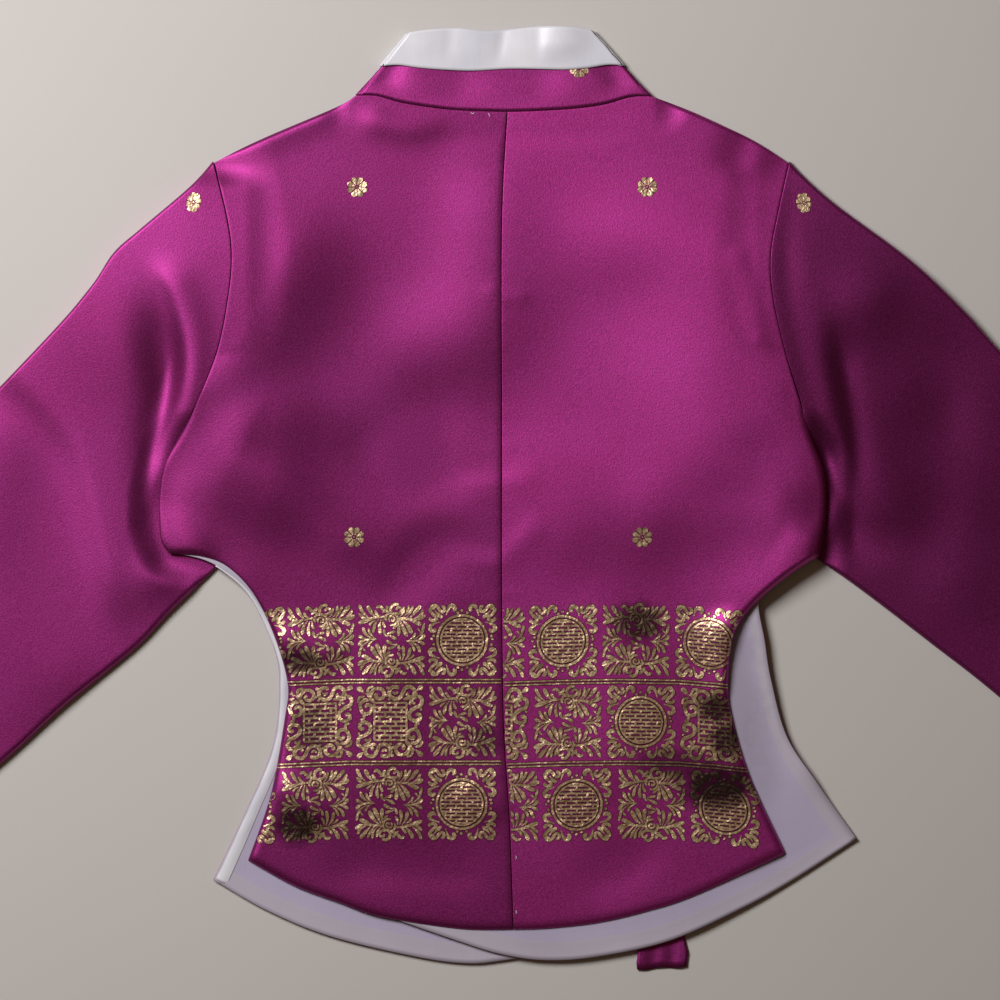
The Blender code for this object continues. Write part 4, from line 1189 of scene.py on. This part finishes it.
def widthProfile(kind, t, roundShare):
    if kind in tapers:
        first, whole, rounded = tapers[kind]
        grown = first + (1 - first) * smoothStep(t / whole)
        return grown * np.sqrt(np.clip(1 - np.clip((t - rounded) / (1 - rounded), 0, 1) ** 2, 0.02, 1))
    if kind == "dot":
        return np.sqrt(np.clip(1 - (2 * t - 1) ** 2, 0.01, 1))
    if kind in ("bar", "band"):
        return np.ones_like(t)
    ends = np.minimum(t, 1 - t) / roundShare
    return np.sqrt(np.clip(1 - (1 - np.clip(ends, 0, 1)) ** 2, 0.02, 1))


class Print:  # strokes laid on a piece from above; what falls beside it is left out
    def __init__(self, name, finish, slot, lift, rim=None):
        self.name, self.made, self.slot, self.lift, self.rim = name, finish, slot, lift, rim
        self.points, self.faces, self.count = [], [], 0

    def over(self, target):
        self.tree = BVHTree.FromObject(target, bpy.context.evaluated_depsgraph_get())
        if self.rim:
            self.rim.tree = self.tree
        return self

    def lay(self, kind, width, line):
        if self.rim:
            self.rim.lay(kind, width + foil["rimWider"], line)
        if kind == "dot":
            line = np.array([line[0] - (width / 2, 0), line[0] + (width / 2, 0)])
        length = arcRun(line)[-1]
        steps = max(math.ceil(length / foil["spacing"]), 7 if kind in ("dot", "petal") else 4)
        t = shares(steps)
        if kind == "dot":
            t = 0.5 - 0.5 * np.cos(np.pi * t)
        elif kind not in ("bar", "band"):  # closer steps where the stroke ends
            t = 1 - (1 - t) ** 1.25
        middle = curveThrough(line, t) if len(line) > 2 else line[0] + (line[-1] - line[0]) * t[:, None]
        ahead = np.gradient(middle, axis=0)
        ahead = ahead / np.maximum(np.linalg.norm(ahead, axis=1), 1e-9)[:, None]
        half = width / 2 * widthProfile(kind, t, min(width / 2 / max(length, 0.1), 0.5))[:, None]
        beside = np.stack([-ahead[:, 1], ahead[:, 0]], axis=1) * half
        lift = self.lift + foil["liftStep"] * (self.count % foil["liftSteps"])
        self.count += 1
        first, hits = len(self.points), []
        for x, y in np.stack([middle + beside, middle - beside], axis=1).reshape(-1, 2):
            above = Vector((x * mm, y * mm, foil["rayFrom"]))
            hit = self.tree.ray_cast(above, Vector((0, 0, -1)))[0]
            hits.append(hit is not None)
            self.points.append((x, y, hit.z / mm + lift if hit else 0))
        for k in range(steps):
            corners = (2 * k, 2 * k + 1, 2 * k + 3, 2 * k + 2)
            if all(hits[c] for c in corners):
                self.faces.append([first + c for c in corners])

    def tile(self, kind, centre, size, place=lambda x, y: (x, y), turn=0.0):
        cos, sin = math.cos(turn), math.sin(turn)
        for stroke, width, *points in ornaments[kind]:
            line = []
            for u, v in points:
                x, y = (u - 0.5) * size[0], (0.5 - v) * size[1]
                line.append(place(centre[0] + x * cos - y * sin, centre[1] + x * sin + y * cos))
            self.lay(stroke, width, np.array(line, float))

    def finish(self):
        used = sorted({c for face in self.faces for c in face})
        place = {old: new for new, old in enumerate(used)}
        faces = [[place[c] for c in face] for face in self.faces]
        points = np.array(self.points)[used]
        a, b, c = (points[faces[0][k]] for k in (0, 1, 2))
        if np.cross(b - a, c - a)[2] < 0:
            faces = [face[::-1] for face in faces]
        piece = meshFrom(self.name, points, faces)
        piece.data.shade_flat()
        return settle(thicken(piece, foil["wall"], self.made), self.slot)


printed = {
    "rows": (-96.9, -152.3, -208.4), "tileSize": (46.0, 49.0),
    "lines": (-124.8, -180.4), "lineWidth": 0.85, "lineGap": 2.15, "lineSteps": 60,
    "lineEnds": {"Left": (-185, -0.6), "Right": (0.6, 190)},
    # how far the print has slipped down, at points across
    "slip": {"Left": ((-170, 3.2), (-150, 2.0), (-103, 0), (0, 0)),
             "Right": ((0, 2.0), (40, 0.7), (80, 0), (120, 0.6), (145, 2.6), (175, 6.0))},
    # for each row, what stands where: centre across
    "tiles": {
        "Left": ((("round", -170.3), ("spray", -123.4), ("spray", -75.1), ("round", -26.9)),
                 (("square", -124.1), ("square", -76.2), ("spray", -26.9)),
                 (("round", -177.5), ("spray", -127.0), ("spray", -76.8), ("round", -27.3))),
        "Right": ((("spray", -7.5), ("round", 41.5), ("spray", 91.1), ("round", 141.0)),
                  (("square", -4.8), ("spray", 44.7), ("round", 94.5), ("square", 144.2)),
                  (("spray", 2.0), ("round", 51.0), ("spray", 101.7), ("round", 151.6))),
    },
    "blossoms": {"Left": ((-98.6, 211.1), (-100.6, -26.9)), "Right": ((98.6, 211.1), (95.2, -26.9))},
    "blossomSize": 14.0,
    # blossoms on other pieces: the piece, centre, size, turn
    "strays": {
        "Left": (("sleeveLeft", (-209.5, 200.5), (9.5, 14), -0.25),),
        "Right": (("sleeveRight", (205, 200.3), (10, 14), 0.2),
                  ("collarBand", (52.4, 292), (13.5, 13), 0)),
    },
}
threads = {
    "width": 0.4, "lift": 0.3,
    "ends": (  # the piece, points along the thread
        ("backLeft", (-86.5, 273), (-85.5, 273.8), (-84.3, 273.1)),
        ("backLeft", (-21.5, 262), (-20, 261), (-18.8, 261.8)),
        ("backLeft", (-9.6, 261.6), (-8.8, 260.4), (-8.4, 259)),
        ("backRight", (8.8, -243.5), (9.8, -244.6), (9.2, -246)),
        ("backRight", (9, -280.5), (9.9, -281.6), (9.3, -283)),
        ("backRight", (6.6, -206), (7.6, -206.8), (8, -208)),
    ),
}

for word in ("Left", "Right"):
    rim = Print("printRim" + word, rimShadeMade, "foil", foil["rimLift"])
    gold = Print("print" + word, foilMade, "foil", foil["lift"], rim).over(backs[word])
    across, down = zip(*printed["slip"][word])

    def slipped(x, y, across=across, down=down):
        return x, y - np.interp(x, across, down)

    for row, tiles in zip(printed["rows"], printed["tiles"][word]):
        for kind, x in tiles:
            gold.tile(kind, (x, row), printed["tileSize"], slipped)
    for y in printed["lines"]:
        for shift in (-0.5, 0.5):
            xs = np.linspace(*printed["lineEnds"][word], printed["lineSteps"])
            line = np.array([slipped(x, y + shift * printed["lineGap"]) for x in xs])
            gold.lay("band", printed["lineWidth"], line)
    for place in printed["blossoms"][word]:
        gold.tile("blossom", place, (printed["blossomSize"],) * 2)
    for target, place, size, turn in printed["strays"][word]:
        gold.over(bpy.data.objects[target]).tile("blossom", place, size, turn=turn)
    gold.finish()
    rim.finish()

loose = Print("threadEnds", threadMade, "thread", threads["lift"])
for target, *points in threads["ends"]:
    loose.over(bpy.data.objects[target]).lay("line", threads["width"], curveThrough(points, shares(6)))
loose.finish()
print("gold print laid")


cuts = {  # width and length in metres, flat area, what it lies on, separate pieces on it
    "backLeft": (0.243, 0.572, 0.102, ("liningLeft", "sleeveLeft"),
                 ("printLeft", "printRimLeft", "seamTape", "threadEnds")),
    "backRight": (0.224, 0.571, 0.102, ("liningRight", "sleeveRight"), ("printRight", "printRimRight")),
    "liningLeft": (0.312, 0.590, 0.125, ("frontLeft",), ("slitStrip",)),
    "liningRight": (0.322, 0.588, 0.131, ("frontRight", "liningLeft"), ()),
    "frontLeft": (0.314, 0.592, 0.127, ("tieShort",), ()),
    "frontRight": (0.323, 0.590, 0.131, ("tieLong", "liningLeft"), ()),
    "sleeveLeft": (0.540, 0.480, 0.172, (), ()),
    "sleeveRight": (0.520, 0.470, 0.163, (), ()),
    "collarBand": (0.055, 0.740, 0.0388, ("backLeft", "backRight", "liningLeft", "liningRight"), ()),
    "collarTrim": (0.030, 0.720, 0.0204, ("collarBand",), ()),
    "tieLong": (0.034, 0.425, None, (), ()),
    "tieShort": (0.034, 0.163, None, (), ()),
}
for name, (width, length, area, below, added) in cuts.items():
    [bpy.data.objects[piece] for piece in added]
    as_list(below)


studio = {
    "floor": (0.6, 0.575, 0.564, 1), "floorShade": (0.585, 0.56, 0.55, 1),
    "floorSize": 8, "floorDrop": 0.0002,
    "keyAt": (-1.076, 0.903, 1.561), "keySize": 0.95, "keyPower": 42, "keyColour": (1.0, 0.985, 0.96),
    "ambient": (0.92, 0.60, 0.34), "ambientStrength": 0.072,
    "cameraHeight": 4.0, "frameWidth": 0.68, "frameCentre": (-0.0014, -0.0017),
    "sensor": 36, "clipEnd": 20,
}


def floorFinish():
    f = Finish("tableTop")
    cloudy = f.noise(f.place(), 3, 4)
    fine = f.noise(f.place(), 420, 3)
    colour = f.mix(f.range(cloudy, 0.3, 0.7, 0, 1), studio["floorShade"], studio["floor"])
    return f.surface({
        "Base Color": colour, "Roughness": 0.6 + (fine - 0.5) * 0.1, "Normal": f.bump(fine, 0.00002),
    })


bpy.ops.mesh.primitive_grid_add(x_subdivisions=8, y_subdivisions=8, size=studio["floorSize"],
                                location=(0, 0, -studio["floorDrop"]))
tableTop = bpy.context.object
tableTop.name = "tableTop"
tableTop.data.materials.append(floorFinish())

key = bpy.data.objects.new("keyLight", bpy.data.lights.new("keyLight", "AREA"))
key.data.shape = "DISK"
key.data.size = studio["keySize"]
key.data.energy = studio["keyPower"]
key.data.color = studio["keyColour"]
key.location = studio["keyAt"]
key.rotation_euler = (Vector((0, 0, 0)) - Vector(studio["keyAt"])).to_track_quat("-Z", "Y").to_euler()
bpy.context.scene.collection.objects.link(key)

world = bpy.data.worlds.new("studio")
bpy.context.scene.world = world
world.use_nodes = True
sky = world.node_tree.nodes["Background"]
sky.inputs["Color"].default_value = (*studio["ambient"], 1)
sky.inputs["Strength"].default_value = studio["ambientStrength"]

camera = bpy.data.objects.new("camera", bpy.data.cameras.new("camera"))
camera.location = (*studio["frameCentre"], studio["cameraHeight"])
camera.data.sensor_width = studio["sensor"]
camera.data.lens = studio["sensor"] * (studio["cameraHeight"] - level["back"] * mm) / studio["frameWidth"]
camera.data.clip_end = studio["clipEnd"]
bpy.context.scene.collection.objects.link(camera)
bpy.context.scene.camera = camera
bpy.context.scene.view_settings.view_transform = "Standard"

print("light and camera set")
